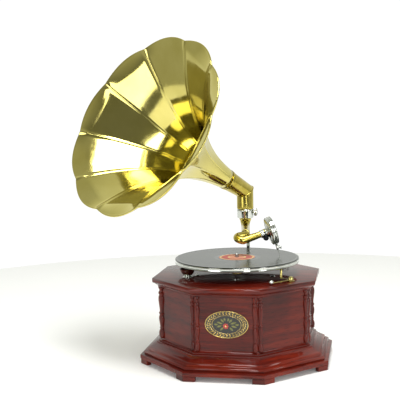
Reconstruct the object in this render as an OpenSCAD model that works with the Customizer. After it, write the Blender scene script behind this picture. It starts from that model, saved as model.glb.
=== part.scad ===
// Wind-up table phonograph: octagonal mahogany cabinet, spring motor,
// turntable, swinging tone arm with soundbox, and a ten-petal brass horn.
// Frame: +Z up, origin on the table under the turntable spindle, front of the cabinet at -Y.

/* [Cabinet] */
// Distance from the centre to the outer face of each wall panel
wall_apothem = 147; // [145:0.5:149]
// Thickness of the wall panels
wall_thick = 10; // [8:0.5:11]
// Distance from the centre to the flat edge of the base board
base_apothem = 187; // [183:1:190]
// Distance from the centre to the flat edge of the top board
top_apothem = 161.5; // [160:0.5:164]
// Height of the bracket feet
foot_h = 10; // [8:1:11]
// Height of the top of the cabinet above the table
deck_z = 172; // [171:0.5:173]

/* [Turntable] */
// Radius of the turntable plate
platter_r = 125.5; // [124:0.5:127]
// Height of the record's playing surface above the table
record_z = 205; // [204:0.5:206]
// Radius of the record
record_r = 125; // [120:0.5:125]
// Radius of the spindle pin that goes through the record
pin_r = 3.58; // [3.5:0.02:3.62]

/* [Tone arm] */
// Distance from the spindle back to the tone arm's swivel
pivot_y = 142; // [140:1:144]
// Radius of the soundbox
soundbox_r = 29; // [27:0.5:30]
// Upward slope of the soundbox's axis in degrees
soundbox_slope = 17; // [15:0.5:19]

/* [Horn] */
// Length of the horn from the elbow to its mouth
horn_len = 333; // [320:1:340]
// Mean radius of the horn's mouth
mouth_r = 186; // [176:1:190]
// Number of petals
petals = 10; // [8:1:12]
// Compass direction of the horn's mouth in degrees, from +X towards +Y
horn_turn = -124; // [-130:1:-115]
// Upward slope of the horn in degrees
horn_slope = 27.5; // [25:0.5:30]

/* [Motor] */
// Gear tooth size (pitch diameter per tooth)
tooth_m = 1.5; // [1.4:0.1:1.5]
// Length of the winding crank's arm
crank_arm = 82; // [70:1:86]

/* [Hidden] */

brass = "#b3a44e";
wood = "#5a1a0c";
chrome = "#c9cdc9";
steel = "#8d9093";

// running gap of a shaft in its hole, on the radius
fit = 0.05;
// gap between parts that move past each other
gap = 0.3;

base_top = foot_h + 8.5;
deck_thick = 10;
deck_under = deck_z - deck_thick;
wall_half = wall_apothem * tan(22.5);

pivot_x = -2;
collar_z = [268, 287];
collar_r = 17.5;
elbow_pos = [pivot_x, pivot_y, 325.5];

crank_az = 135;
crank_z = 134;
plate_z = deck_under - 3;
plate_t = 3;
lower_z = 62;
barrel_teeth = 56;
pinion_teeth = 14;
barrel_dist = tooth_m * (barrel_teeth + pinion_teeth) / 2;
barrel_pos = [barrel_dist * cos(crank_az), barrel_dist * sin(crank_az)];
barrel_z = 69;
// turns the pinion so that a gap faces the barrel's tooth on the line of centres
pinion_phase = pinion_teeth * crank_az / 360 - 0.5 + (barrel_teeth * (crank_az + 180) / 360) % 1;
bevel_r = 22;
gov_y = 24.8;
gov_z = 118;
speed_pos = [88, 92];
brake_pos = [116, -79];
brake_ball_dist = 51;
brake_dir = 229.5;
pillar_spots = [[-80, 10], [-10, 80], [96, 62], [90, -34], [-60, -34]];
screw_spots = [[76, -30], [-76, -30], [-76, 30], [76, 56]];

// soundbox: local X runs down to the needle, local Z out along the arm
soundbox_turn = 20;
needle_reach = 53;
// the needle stands this far in front of the diaphragm's case
needle_side = 2;
needle_tip = [83.5, 35, record_z + 0.25];
soundbox_down = [sin(soundbox_slope) * cos(soundbox_turn), sin(soundbox_slope) * sin(soundbox_turn),
    -cos(soundbox_slope)];
soundbox_out = [cos(soundbox_slope) * cos(soundbox_turn), cos(soundbox_slope) * sin(soundbox_turn),
    sin(soundbox_slope)];
soundbox_pos = needle_tip - needle_reach * soundbox_down - needle_side * soundbox_out;
arm_tip = soundbox_pos - 13 * soundbox_out;

// gooseneck joint: its axis is the tone arm's own axis
joint_pos = [12, 45, 246];
joint_turn = -81.8;
joint_slope = -2;
joint_axis = [cos(joint_slope) * cos(joint_turn), cos(joint_slope) * sin(joint_turn), sin(joint_slope)];

// ---------- shared shapes ----------

function octagon_r(apothem) = apothem / cos(22.5);

// solid octagonal slab between two heights
module octagon_slab(apothem, z0, z1) {
    translate([0, 0, z0])
        rotate([0, 0, 22.5])
            cylinder(r = octagon_r(apothem), h = z1 - z0, $fn = 8);
}

// octagonal moulding from a profile of [apothem, height]
module octagon_moulding(profile) {
    rotate([0, 0, 22.5])
        rotate_extrude($fn = 8)
            polygon([for (p = profile) [octagon_r(p[0]), p[1]]]);
}

// ring with a rectangular section
module ring(r_out, r_in, z0, z1) {
    translate([0, 0, z0])
        difference() {
            cylinder(r = r_out, h = z1 - z0, $fn = 96);
            translate([0, 0, -1])
                cylinder(r = r_in, h = z1 - z0 + 2, $fn = 96);
        }
}

// puts children on a line with a compass direction, local X pointing along it
module facing(direction) {
    rotate([0, 0, direction])
        children();
}

// local Z along a direction given by turn and slope, local X pointing down from it
module along(pos, turn, slope) {
    translate(pos)
        rotate([0, 90 - slope, turn])
            children();
}

// gear outline with straight-sided teeth; the phase is in teeth
function gear_points(teeth, m, phase) = [
    for (i = [0 : teeth - 1], k = [0 : 3])
        let (
            r = (k == 0 || k == 3) ? m * (teeth / 2 - 1.15) : m * (teeth / 2 + 0.8),
            half = (k == 0 || k == 3) ? 0.33 : 0.11,
            side = k < 2 ? -1 : 1,
            a = 360 / teeth * (i + phase + side * half)
        )
        [r * cos(a), r * sin(a)]
];

// circular sections swept along a path, each ring square to the path
function unit(v) = v / norm(v);
function tangent(path, i) = unit(path[min(i + 1, len(path) - 1)] - path[max(i - 1, 0)]);
function ring_at(c, dir, r, up, sides) = let (
    side = unit(cross(dir, up)),
    top = cross(dir, side)
) [for (j = [0 : sides - 1]) c + r * (cos(360 * j / sides) * side + sin(360 * j / sides) * top)];
function sweep_points(path, radii, up, sides) =
    [for (i = [0 : len(path) - 1], p = ring_at(path[i], tangent(path, i), radii[i], up, sides)) p];
module swept_tube(path, radii, up, sides = 20) {
    n = len(path);
    polyhedron(
        points = sweep_points(path, radii, up, sides),
        faces = concat(
            [[for (j = [0 : sides - 1]) j]],
            [for (i = [0 : n - 2], j = [0 : sides - 1]) let (k = (j + 1) % sides)
                [i * sides + k, i * sides + j, (i + 1) * sides + j, (i + 1) * sides + k]],
            [[for (j = [sides - 1 : -1 : 0]) (n - 1) * sides + j]]),
        convexity = 6);
}

// smooth curve through hand-chosen points, ends repeated
function spline(p, i, t) = let (
    a = p[max(i - 1, 0)],
    b = p[i],
    c = p[i + 1],
    d = p[min(i + 2, len(p) - 1)]
) b + 0.5 * t * (c - a + t * (2 * a - 5 * b + 4 * c - d + t * (3 * (b - c) + d - a)));
function smooth(p, steps) = concat(
    [for (i = [0 : len(p) - 2], s = [0 : steps - 1]) spline(p, i, s / steps)],
    [p[len(p) - 1]]);

// ---------- cabinet ----------

module base_board() {
    color(wood)
        octagon_slab(base_apothem, foot_h, base_top);
}

// a round pad in the middle keeps the base board from sagging under the motor
module bracket_feet() {
    foot_ap = base_apothem - 1;
    foot_len = 23.5;
    middle = foot_ap * tan(22.5) - foot_len;
    color(wood)
        difference() {
            octagon_slab(foot_ap, 0, foot_h);
            octagon_slab(foot_ap - 10, -1, foot_h + 1);
            for (k = [0 : 7])
                facing(45 * k)
                    translate([foot_ap - 15, -middle, -1])
                        cube([30, 2 * middle, foot_h + 2]);
        }
    color(wood)
        cylinder(r = 16, h = foot_h, $fn = 64);
}

module base_moulding() {
    color(wood)
        octagon_moulding([[wall_apothem, base_top], [179, base_top], [179, 21], [180, 23.5],
            [178, 26.5], [174, 28.5], [172, 31], [164, 34.5], [158, 38], [155, 41], [155, 43],
            [151, 43.5], [151, 46.5], [148.6, 47.5], [147.6, 50], [wall_apothem, 50]]);
}

// board with mitred ends; the glue line leaves a hair between neighbours
module wall_panel(direction) {
    inner = wall_apothem - wall_thick;
    mitre = 0.06;
    facing(direction)
        translate([0, 0, base_top])
            linear_extrude(height = deck_under - base_top)
                polygon([[inner, -inner * tan(22.5) + mitre], [wall_apothem, -wall_half + mitre],
                    [wall_apothem, wall_half - mitre], [inner, inner * tan(22.5) - mitre]]);
}

module front_panel() {
    color(wood)
        wall_panel(-90);
}

module crank_panel() {
    color(wood)
        difference() {
            wall_panel(crank_az);
            facing(crank_az)
                translate([wall_apothem - 20, 0, crank_z])
                    rotate([0, 90, 0])
                        cylinder(r = 9, h = 30, $fn = 48);
        }
}

module side_panels() {
    color(wood)
        for (direction = [-135, -45, 0, 45, 90, 180])
            wall_panel(direction);
}

// half-round turned column beside each corner, two to a corner
module corner_balusters() {
    foot_z = 50;
    profile = [[0, 0], [4.2, 0], [4.4, 2], [4.8, 6], [4.6, 11], [3.4, 15], [2.6, 17], [3.4, 18.5],
        [2.7, 21], [3.0, 26], [4.1, 31], [4.5, 37], [4.1, 42], [2.9, 46], [3.9, 47.5], [4.3, 49],
        [3.9, 50.5], [2.9, 52], [3.2, 60], [4.2, 67], [4.8, 76], [4.4, 83], [3.1, 86], [4.2, 87.5],
        [4.5, 90], [4.2, 92.5], [2.9, 94], [2.9, 98], [4.0, 99.5], [4.6, 101.5], [4.2, 104], [0, 104]];
    color(wood)
        for (k = [0 : 7], side = [-1, 1])
            facing(45 * k)
                translate([wall_apothem, side * (wall_half - 5.3), foot_z])
                    intersection() {
                        rotate_extrude($fn = 40)
                            polygon(profile);
                        translate([0, -10, -1])
                            cube([20, 20, 120]);
                    }
}

module frieze() {
    z = deck_under;
    color(wood)
        octagon_moulding([[wall_apothem, z - 8], [150, z - 8], [151, z - 6], [151.2, z - 4.5],
            [153.5, z - 3.5], [156, z - 1.5], [157, z], [wall_apothem, z]]);
}

module top_board() {
    z = deck_under;
    color(wood)
        difference() {
            intersection() {
                octagon_slab(top_apothem, z, deck_z);
                octagon_moulding([[0, z], [158, z], [160.5, z + 2], [161.5, z + 4],
                    [161.5, z + 7.5], [160, z + 9.3], [157.5, deck_z], [0, deck_z]]);
            }
            translate([0, 0, z - 1])
                cylinder(r = 9.3, h = deck_thick + 2, $fn = 64);
            translate([speed_pos[0], speed_pos[1], z - 1])
                cylinder(r = 3 + fit, h = deck_thick + 2, $fn = 48);
            for (p = screw_spots)
                translate([p[0], p[1], z - 1])
                    cylinder(r = 2, h = deck_thick + 2, $fn = 32);
        }
}

// oval name plate with a raised rim, left without lettering
module badge_plate() {
    half_w = 42;
    half_h = 26.5;
    outline = [for (a = [0 : 7.5 : 352.5]) [half_w * cos(a), half_h * sin(a)]];
    color("#8a7a35")
        translate([1.2, -wall_apothem, 101.2])
            rotate([90, 0, 0]) {
                linear_extrude(height = 1.2)
                    polygon(outline);
                linear_extrude(height = 2)
                    difference() {
                        polygon(outline);
                        polygon([for (p = outline) [p[0] * 0.955, p[1] * 0.93]]);
                    }
            }
}

// ---------- things on the deck ----------

module needle_cup() {
    color(chrome)
        translate([-91, -56, deck_z])
            rotate_extrude($fn = 64)
                polygon([[0, 0], [10, 0], [10.4, 1.2], [8, 2.2], [7, 3.4], [9, 5.4], [12.5, 10],
                    [14.2, 15], [15.6, 18], [14.4, 18], [13, 15], [11.4, 10.5], [8, 6.6], [0, 5.6]]);
}

module brake_bracket() {
    color(brass)
        translate([brake_pos[0], brake_pos[1], deck_z])
            facing(brake_dir) {
                translate([-6, -5, 0])
                    cube([12, 10, 2.5]);
                cylinder(r = 2.5, h = 8.4, $fn = 40);
                translate([0, 0, 8.4])
                    cylinder(r = 4, h = 1.8, $fn = 40);
            }
}

// flat lever with a ball at the front, a hub on the pivot and a leg under the turntable
module brake_lever() {
    z = deck_z + 2.5 + gap;
    color(brass)
        translate([brake_pos[0], brake_pos[1], 0])
            facing(brake_dir) {
                difference() {
                    union() {
                        translate([0, 0, z])
                            cylinder(r = 5.2, h = 5.2, $fn = 48);
                        translate([0, -2.2, z])
                            cube([brake_ball_dist - 3, 4.4, 1.6]);
                        rotate([0, 0, -84])
                            translate([0, -3, z])
                                cube([24, 6, 1.6]);
                    }
                    translate([0, 0, z - 1])
                        cylinder(r = 2.5 + fit, h = 8, $fn = 40);
                }
                translate([brake_ball_dist, 0, deck_z + 5.2])
                    sphere(r = 4.4, $fn = 40);
                rotate([0, 0, -84])
                    translate([24, 0, z])
                        cylinder(r = 2.4, h = 20, $fn = 32);
            }
}

module brake_pad() {
    color("#3b3a2c")
        translate([brake_pos[0], brake_pos[1], 0])
            facing(brake_dir - 84)
                translate([24, 0, deck_z + 21.5])
                    difference() {
                        cylinder(r = 4.4, h = 5, $fn = 32);
                        translate([0, 0, -1])
                            cylinder(r = 2.4, h = 2.3, $fn = 32);
                    }
}

module speed_knob() {
    color(chrome)
        translate([speed_pos[0], speed_pos[1], deck_z + gap]) {
            difference() {
                cylinder(r = 9, h = 7, $fn = 64);
                for (k = [0 : 17])
                    facing(20 * k)
                        translate([9.4, 0, -1])
                            cylinder(r = 0.9, h = 9, $fn = 16);
                translate([0, 0, -1])
                    cylinder(r = 3, h = 6, $fn = 40);
            }
            translate([0, 0, 7])
                cylinder(r1 = 7.5, r2 = 6, h = 1.5, $fn = 64);
        }
}

// shaft from the knob down into the cabinet, with the arm that touches the friction disc
module speed_lever() {
    arm_len = 56;
    color(steel)
        translate([speed_pos[0], speed_pos[1], 0]) {
            translate([0, 0, gov_z - 6])
                cylinder(r = 3, h = deck_z + gap + 5 - gov_z + 6, $fn = 40);
            translate([0, 0, gov_z - 4])
                cylinder(r = 6, h = 8, $fn = 40);
            translate([-5, -arm_len, gov_z - 3])
                cube([3, arm_len, 6]);
            translate([-5 - 0.6, -arm_len, gov_z - 3])
                cube([0.7, 7, 6]);
        }
}

// ---------- rear bracket and collar ----------

module rear_bracket() {
    post_y = 163;
    plate_out = wall_apothem;
    color(chrome)
        difference() {
            union() {
                translate([-16, plate_out, 92])
                    cube([32, 4, 54]);
                translate([-3.5, plate_out + 3.9, 100])
                    cube([7, post_y + 8 - plate_out - 3.9, 16]);
                translate([-3.5, post_y, 100])
                    cube([7, 8, collar_z[1] - 100]);
            }
            for (x = [-10, 10], z = [100, 138])
                translate([x, plate_out - 1, z])
                    rotate([-90, 0, 0])
                        cylinder(r = 2, h = 6, $fn = 32);
        }
}

// ring that carries the tone arm from below and the horn elbow from above
module collar() {
    lower_bore = 11 + fit;
    upper_bore = 15 + fit;
    ledge = collar_z[0] + 6;
    color(chrome)
        difference() {
            union() {
                translate([pivot_x, pivot_y, 0])
                    ring(collar_r, lower_bore, collar_z[0], collar_z[1]);
                translate([pivot_x, pivot_y, 0])
                    ring(collar_r + 0.8, collar_r - 1, collar_z[1] - 4, collar_z[1] - 1);
                translate([-5, pivot_y + 15.5, collar_z[0] + 2])
                    cube([10, 163 - pivot_y - 15.5, collar_z[1] - collar_z[0] - 4]);
            }
            translate([pivot_x, pivot_y, ledge])
                cylinder(r = upper_bore, h = 30, $fn = 96);
            translate([pivot_x, pivot_y, collar_z[0] + 12])
                rotate([0, 90, 0])
                    cylinder(r = 2.5, h = 30, $fn = 32);
        }
}

module collar_screw() {
    color(chrome)
        translate([pivot_x, pivot_y, collar_z[0] + 12])
            rotate([0, 90, 0]) {
                translate([0, 0, 15.4])
                    cylinder(r = 2.5, h = 4.6, $fn = 32);
                translate([0, 0, 19.5])
                    difference() {
                        cylinder(r = 8, h = 6.5, $fn = 64);
                        for (k = [0 : 15])
                            facing(22.5 * k)
                                translate([8.3, 0, -1])
                                    cylinder(r = 0.9, h = 9, $fn = 16);
                    }
            }
}

// ---------- motor ----------

module plate_outline() {
    polygon([[-70, -42], [101, -42], [103, -38], [103, 68], [96, 74], [30, 87], [-20, 88],
        [-72, 76], [-86, 60], [-88, -2]]);
}

module motor_plate() {
    color(steel)
        difference() {
            union() {
                translate([0, 0, plate_z])
                    linear_extrude(height = plate_t)
                        plate_outline();
                // hanging bearings of the governor and of the crank shaft
                for (x = [-14, 94])
                    translate([x, gov_y - 6, gov_z - 8])
                        cube([3, 12, plate_z - gov_z + 8]);
                facing(crank_az)
                    translate([88, -8, crank_z - 10])
                        cube([5, 16, plate_z - crank_z + 10]);
            }
            translate([0, 0, plate_z - 1])
                cylinder(r = 7, h = plate_t + 2, $fn = 48);
            translate([barrel_pos[0], barrel_pos[1], plate_z - 1])
                cylinder(r = 5 + fit, h = plate_t + 2, $fn = 48);
            translate([-20, gov_y, gov_z])
                rotate([0, 90, 0])
                    cylinder(r = 2.5 + fit, h = 130, $fn = 40);
            facing(crank_az)
                translate([80, 0, crank_z])
                    rotate([0, 90, 0])
                        cylinder(r = 5 + fit, h = 20, $fn = 48);
            for (p = screw_spots)
                translate([p[0], p[1], plate_z - 1])
                    cylinder(r = 2, h = plate_t + 2, $fn = 32);
            click_place()
                translate([0, 0, plate_z - 1])
                    cylinder(r = 2 + fit, h = plate_t + 2, $fn = 32);
        }
}

// slotted screw with its head's underside at the origin, shank downwards
module slotted_screw(shank) {
    translate([0, 0, -shank])
        cylinder(r = 2, h = shank, $fn = 32);
    difference() {
        cylinder(r1 = 4.5, r2 = 3.4, h = 2, $fn = 40);
        translate([-5, -0.4, 1.1])
            cube([10, 0.8, 2]);
    }
}

// screws of the rear bracket and of the motor plate
module screws() {
    color(steel) {
        for (x = [-10, 10], z = [100, 138])
            translate([x, wall_apothem + 4, z])
                rotate([-90, 0, 0])
                    slotted_screw(4);
        for (p = screw_spots)
            translate([p[0], p[1], deck_z])
                slotted_screw(deck_z - plate_z + 3);
    }
}

module motor_pillars() {
    color(steel)
        for (p = pillar_spots)
            translate([p[0], p[1], lower_z + plate_t])
                cylinder(r = 4, h = plate_z - lower_z - plate_t, $fn = 40);
}

module lower_plate() {
    color(steel)
        difference() {
            translate([0, 0, lower_z])
                linear_extrude(height = plate_t)
                    plate_outline();
            translate([0, 0, lower_z - 1])
                cylinder(r = 4 + fit, h = plate_t + 2, $fn = 48);
            translate([barrel_pos[0], barrel_pos[1], lower_z - 1])
                cylinder(r = 5 + fit, h = plate_t + 2, $fn = 48);
        }
}

module pillar_nuts() {
    color(steel)
        for (p = pillar_spots)
            translate([p[0], p[1], lower_z - 5])
                cylinder(r = 6, h = 5, $fn = 6);
}

module spindle_bush() {
    color(brass)
        difference() {
            union() {
                translate([0, 0, plate_z - 8])
                    cylinder(r = 7, h = 8 + plate_t, $fn = 48);
                translate([0, 0, plate_z + plate_t])
                    cylinder(r = 9.2, h = deck_z - plate_z - plate_t + 1, $fn = 48);
            }
            translate([0, 0, plate_z - 10])
                cylinder(r = 5 + fit, h = 40, $fn = 48);
        }
}

module escutcheon() {
    color(brass)
        facing(crank_az)
            translate([0, 0, crank_z])
                rotate([0, 90, 0])
                    difference() {
                        union() {
                            translate([0, 0, wall_apothem - wall_thick])
                                cylinder(r = 9, h = wall_thick, $fn = 48);
                            translate([0, 0, wall_apothem])
                                cylinder(r1 = 17, r2 = 14, h = 2.5, $fn = 64);
                            translate([0, 0, wall_apothem + 2.5])
                                cylinder(r = 9, h = 3, $fn = 48);
                        }
                        translate([0, 0, wall_apothem - 20])
                            cylinder(r = 5 + fit, h = 40, $fn = 48);
                    }
}

// places children on the crank shaft's axis, local Z pointing out of the cabinet
module on_crank_axis() {
    facing(crank_az)
        translate([0, 0, crank_z])
            rotate([0, 90, 0])
                children();
}

crank_hub = base_apothem + 3;

module crank_shaft() {
    color(steel)
        on_crank_axis()
            translate([0, 0, barrel_dist + 15])
                cylinder(r = 5, h = crank_hub + 9 - barrel_dist - 15, $fn = 48);
}

module bevel_slots(count, r_small, r_big, length) {
    tilt = atan((r_big - r_small) / length);
    for (k = [0 : count - 1])
        facing(360 / count * k)
            translate([r_small, 0, 0])
                rotate([0, tilt, 0])
                    translate([-1.6, -0.9, -2])
                        cube([4, 1.8, 16]);
}

module crank_pinion() {
    near = barrel_dist + 15;
    color(brass)
        on_crank_axis()
            difference() {
                translate([0, 0, near])
                    cylinder(r1 = 15 / 2 - gap, r2 = bevel_r / 2 - gap, h = bevel_r - 15, $fn = 48);
                translate([0, 0, near])
                    bevel_slots(12, 15 / 2 - gap, bevel_r / 2 - gap, bevel_r - 15);
                translate([0, 0, near - 1])
                    cylinder(r = 5, h = 20, $fn = 48);
            }
}

module crank_handle() {
    color(steel)
        on_crank_axis() {
            difference() {
                union() {
                    translate([0, 0, crank_hub])
                        cylinder(r = 9, h = 9, $fn = 48);
                    hull() {
                        translate([0, 0, crank_hub + 2])
                            cylinder(r = 6.5, h = 5, $fn = 32);
                        translate([crank_arm, 0, crank_hub + 2])
                            cylinder(r = 5.5, h = 5, $fn = 32);
                    }
                }
                translate([0, 0, crank_hub - 1])
                    cylinder(r = 5, h = 20, $fn = 48);
            }
            translate([crank_arm, 0, crank_hub + 7])
                cylinder(r = 3.5, h = 66, $fn = 40);
            translate([crank_arm, 0, crank_hub + 73])
                cylinder(r1 = 6, r2 = 4.5, h = 2.5, $fn = 40);
        }
}

module crank_grip() {
    z = crank_hub + 7 + gap;
    color("#3a1408")
        on_crank_axis()
            translate([crank_arm, 0, z])
                difference() {
                    rotate_extrude($fn = 56)
                        polygon([[0, 0], [7.5, 0], [8.5, 3], [7, 6], [7.4, 14], [9.4, 28], [10.8, 42],
                            [10.6, 52], [9, 60], [6.4, 65.2], [0, 65.2]]);
                    translate([0, 0, -1])
                        cylinder(r = 3.5 + fit, h = 80, $fn = 40);
                }
}

module at_barrel() {
    translate([barrel_pos[0], barrel_pos[1], 0])
        children();
}

module winding_arbor() {
    color(steel)
        at_barrel() {
            translate([0, 0, lower_z - 2])
                cylinder(r = 5, h = plate_z + plate_t - lower_z + 2, $fn = 48);
            translate([0, 0, barrel_z + 8])
                cylinder(r = 8, h = 22, $fn = 48);
        }
}

module arbor_gear() {
    top_z = crank_z - bevel_r / 2 - gap;
    inner_z = crank_z - 15 / 2 - gap;
    color(brass)
        at_barrel()
            difference() {
                rotate_extrude($fn = 72)
                    polygon([[5, top_z - 7], [bevel_r, top_z - 7], [bevel_r, top_z],
                        [15, inner_z], [5, inner_z]]);
                for (k = [0 : 23])
                    facing(15 * k)
                        translate([15, 0, inner_z])
                            rotate([0, atan(0.5), 0])
                                translate([-1, -0.9, -1.6])
                                    cube([12, 1.8, 4]);
            }
}

ratchet_z = plate_z - 9;
ratchet_r = 19;

module ratchet_wheel() {
    teeth = 18;
    color(steel)
        at_barrel()
            translate([0, 0, ratchet_z])
                linear_extrude(height = 4)
                    difference() {
                        polygon([for (i = [0 : teeth - 1], k = [0 : 1])
                            let (a = 360 / teeth * (i + (k == 0 ? 0.02 : 0)),
                                r = k == 0 ? ratchet_r - 3 : ratchet_r)
                            [r * cos(a), r * sin(a)]]);
                        circle(r = 5, $fn = 48);
                    }
}

click_az = 240;
click_dist = 28;
module click_place() {
    at_barrel()
        facing(click_az)
            translate([click_dist, 0, 0])
                children();
}

module click_pawl() {
    color(steel)
        click_place() {
            translate([0, 0, ratchet_z])
                linear_extrude(height = 4)
                    polygon([[-4, -4], [4, -4], [5, 2], [0, 13], [-8.2, 17], [-4.6, 8]]);
            translate([0, 0, ratchet_z + 3])
                cylinder(r = 2, h = plate_z + plate_t - ratchet_z - 3, $fn = 32);
        }
}

module click_spring() {
    color(steel)
        click_place()
            translate([7.2, 0, ratchet_z]) {
                rotate([0, 0, 12])
                    translate([-0.3, -4, 0])
                        cube([0.8, 22, 3.5]);
                rotate([0, 0, 12])
                    translate([-0.3, 14, 0])
                        cube([4, 4, plate_z - ratchet_z]);
            }
}

module spring_barrel() {
    wall = 2;
    color(brass)
        at_barrel()
            difference() {
                union() {
                    translate([0, 0, barrel_z])
                        linear_extrude(height = 6)
                            polygon(gear_points(barrel_teeth, tooth_m, 0));
                    translate([0, 0, barrel_z + 6])
                        cylinder(r = 38, h = 28, $fn = 96);
                }
                translate([0, 0, barrel_z + 7])
                    cylinder(r = 38 - wall, h = 40, $fn = 96);
                translate([0, 0, barrel_z - 1])
                    cylinder(r = 5 + fit, h = 40, $fn = 48);
            }
}

module barrel_cover() {
    color(brass)
        at_barrel()
            ring(38, 5 + fit, barrel_z + 34, barrel_z + 36);
}

// spiral of spring steel, wound from the arbor out to the wall of the barrel
module mainspring() {
    turns = 7;
    steps = 24;
    inner = 9.2;
    pitch = 3.6;
    half = 0.5;
    count = turns * steps;
    function spiral(i, side) = let (r = inner + pitch * i / steps + side * half, a = 360 * i / steps)
        [r * cos(a), r * sin(a)];
    color("#4c5058")
        at_barrel()
            translate([0, 0, barrel_z + 9])
                linear_extrude(height = 20)
                    polygon(concat([for (i = [0 : count]) spiral(i, 1)],
                        [for (i = [count : -1 : 0]) spiral(i, -1)]));
}

// ---------- turntable ----------

module spindle() {
    color(steel)
        difference() {
            union() {
                translate([0, 0, lower_z - 2])
                    cylinder(r = 4, h = 10, $fn = 48);
                translate([0, 0, lower_z + plate_t + 0.5])
                    cylinder(r = 5, h = record_z - 2.8 - lower_z - plate_t - 0.5, $fn = 48);
                translate([0, 0, barrel_z])
                    linear_extrude(height = 7)
                        polygon(gear_points(pinion_teeth, tooth_m, pinion_phase));
                translate([0, 0, record_z - 3])
                    cylinder(r = pin_r - 0.3, h = 4, $fn = 48);
                translate([0, 0, record_z + 0.4])
                    cylinder(r = pin_r, h = 5.6, $fn = 48);
                translate([0, 0, record_z + 6])
                    cylinder(r1 = pin_r, r2 = 1.6, h = 2, $fn = 48);
            }
        }
}

module worm_wheel() {
    teeth = 60;
    color(brass)
        translate([0, 0, gov_z - 2.5])
            linear_extrude(height = 5)
                difference() {
                    polygon(gear_points(teeth, 0.64, 0));
                    circle(r = 5, $fn = 48);
                }
}

module platter() {
    top = record_z - 2.8;
    color(chrome)
        rotate_extrude($fn = 128)
            polygon([[5, top - 17], [11, top - 17], [12, top - 15], [12, top - 4], [16, top - 2],
                [platter_r - 3, top - 2], [platter_r - 2, top - 3.4], [platter_r - 2, top - 6.2],
                [platter_r - 0.6, top - 6.2], [platter_r, top - 5.4], [platter_r, top + 0.6],
                [platter_r - 0.9, top + 0.9], [platter_r - 2.2, top], [5, top]]);
}

module platter_mat() {
    color("#2f4a36")
        ring(120, 5, record_z - 2.8, record_z - 1.8);
}

module record() {
    color("#15161a")
        rotate_extrude($fn = 128)
            polygon([[pin_r + fit, record_z - 1.8], [record_r - 0.6, record_z - 1.8],
                [record_r, record_z - 1.2], [record_r, record_z - 0.6], [record_r - 0.6, record_z],
                [pin_r + fit, record_z]]);
}

module record_labels() {
    color("#b8473a")
        ring(36.5, pin_r + 0.4, record_z, record_z + 0.1);
}

// ---------- governor ----------

module on_governor_axis() {
    translate([0, gov_y, gov_z])
        rotate([0, 90, 0])
            children();
}

module governor_shaft() {
    color(steel)
        on_governor_axis() {
            translate([0, 0, -16])
                cylinder(r = 2.5, h = 116, $fn = 40);
            translate([0, 0, -9])
                linear_extrude(height = 18, twist = -1080, slices = 36)
                    translate([1, 0])
                        circle(r = 3.5, $fn = 12);
            translate([0, 0, 28])
                cylinder(r = 5, h = 5, $fn = 40);
        }
}

module governor_weights() {
    color(brass)
        on_governor_axis()
            for (k = [0 : 2])
                facing(120 * k)
                    translate([12.6, -5, 44])
                        cube([5, 10, 12]);
}

module governor_springs() {
    color(steel)
        on_governor_axis()
            for (k = [0 : 2])
                facing(120 * k) {
                    translate([5, -3, 30])
                        cube([7.5, 6, 0.6]);
                    translate([12, -3, 30])
                        cube([0.6, 6, 40]);
                    translate([5, -3, 69.4])
                        cube([7.5, 6, 0.6]);
                }
}

module friction_disc() {
    color(brass)
        on_governor_axis()
            difference() {
                union() {
                    translate([0, 0, 67])
                        cylinder(r = 5, h = 13, $fn = 40);
                    translate([0, 0, 80])
                        cylinder(r = 17, h = 1.8, $fn = 72);
                }
                translate([0, 0, 60])
                    cylinder(r = 2.5, h = 30, $fn = 40);
            }
}

// ---------- tone arm and soundbox ----------

arm_path = smooth([[pivot_x, pivot_y, collar_z[0] - 3.2], [pivot_x, pivot_y - 2, 257],
    [0, 126, 248.5], [5, 95, 247], joint_pos - 8 * joint_axis], 5);
arm_radii = [for (i = [0 : len(arm_path) - 1]) let (s = i / (len(arm_path) - 1))
    s < 0.5 ? 13.4 - 4.6 * sin(180 * s) : 8.8 + 0.2 * (2 * s - 1)];

module tonearm() {
    color(brass)
        difference() {
            union() {
                translate([pivot_x, pivot_y, collar_z[0] - 1])
                    cylinder(r = 11, h = 8.5, $fn = 72);
                translate([pivot_x, pivot_y, collar_z[0] + 6 + gap])
                    cylinder(r = 14.5, h = 2, $fn = 72);
                translate([pivot_x, pivot_y, collar_z[0] - 2.3])
                    cylinder(r = 13, h = 2, $fn = 72);
                swept_tube(arm_path, arm_radii, [1, 0, 0]);
                along(joint_pos, joint_turn, joint_slope)
                    translate([0, 0, -12])
                        cylinder(r = 9.2, h = 12, $fn = 56);
            }
            along(joint_pos, joint_turn, joint_slope)
                translate([0, 0, -10])
                    cylinder(r = 6 + fit, h = 20, $fn = 48);
            translate([pivot_x, pivot_y, collar_z[0] - 8])
                cylinder(r = 8, h = 30, $fn = 48);
        }
}

// from the joint the tube swings out, turns back on itself and rises to the soundbox
bend_r = 10;
bend_pos = [8.4, 18.3];
bend_start = 145;
bend_turn = 145;
bend_z = [244, 237.3];
bend_arc = [for (k = [0 : 9]) let (a = bend_start + bend_turn * k / 9)
    [bend_pos[0] + bend_r * cos(a), bend_pos[1] + bend_r * sin(a),
        bend_z[0] + (bend_z[1] - bend_z[0]) * k / 9]];
neck_lead = smooth([joint_pos + 6 * joint_axis, joint_pos + 11 * joint_axis, bend_arc[0]], 4);
neck_path = concat([joint_pos + 1 * joint_axis], [for (i = [0 : 7]) neck_lead[i]], bend_arc,
    [for (k = [0.25, 0.5, 0.7, 1]) bend_arc[9] + (arm_tip - bend_arc[9]) * k]);
neck_radii = [for (i = [0 : len(neck_path) - 1]) i < 19 ? 8 : i == 19 ? 7.5 : i == 20 ? 7 : 6.4];

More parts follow.
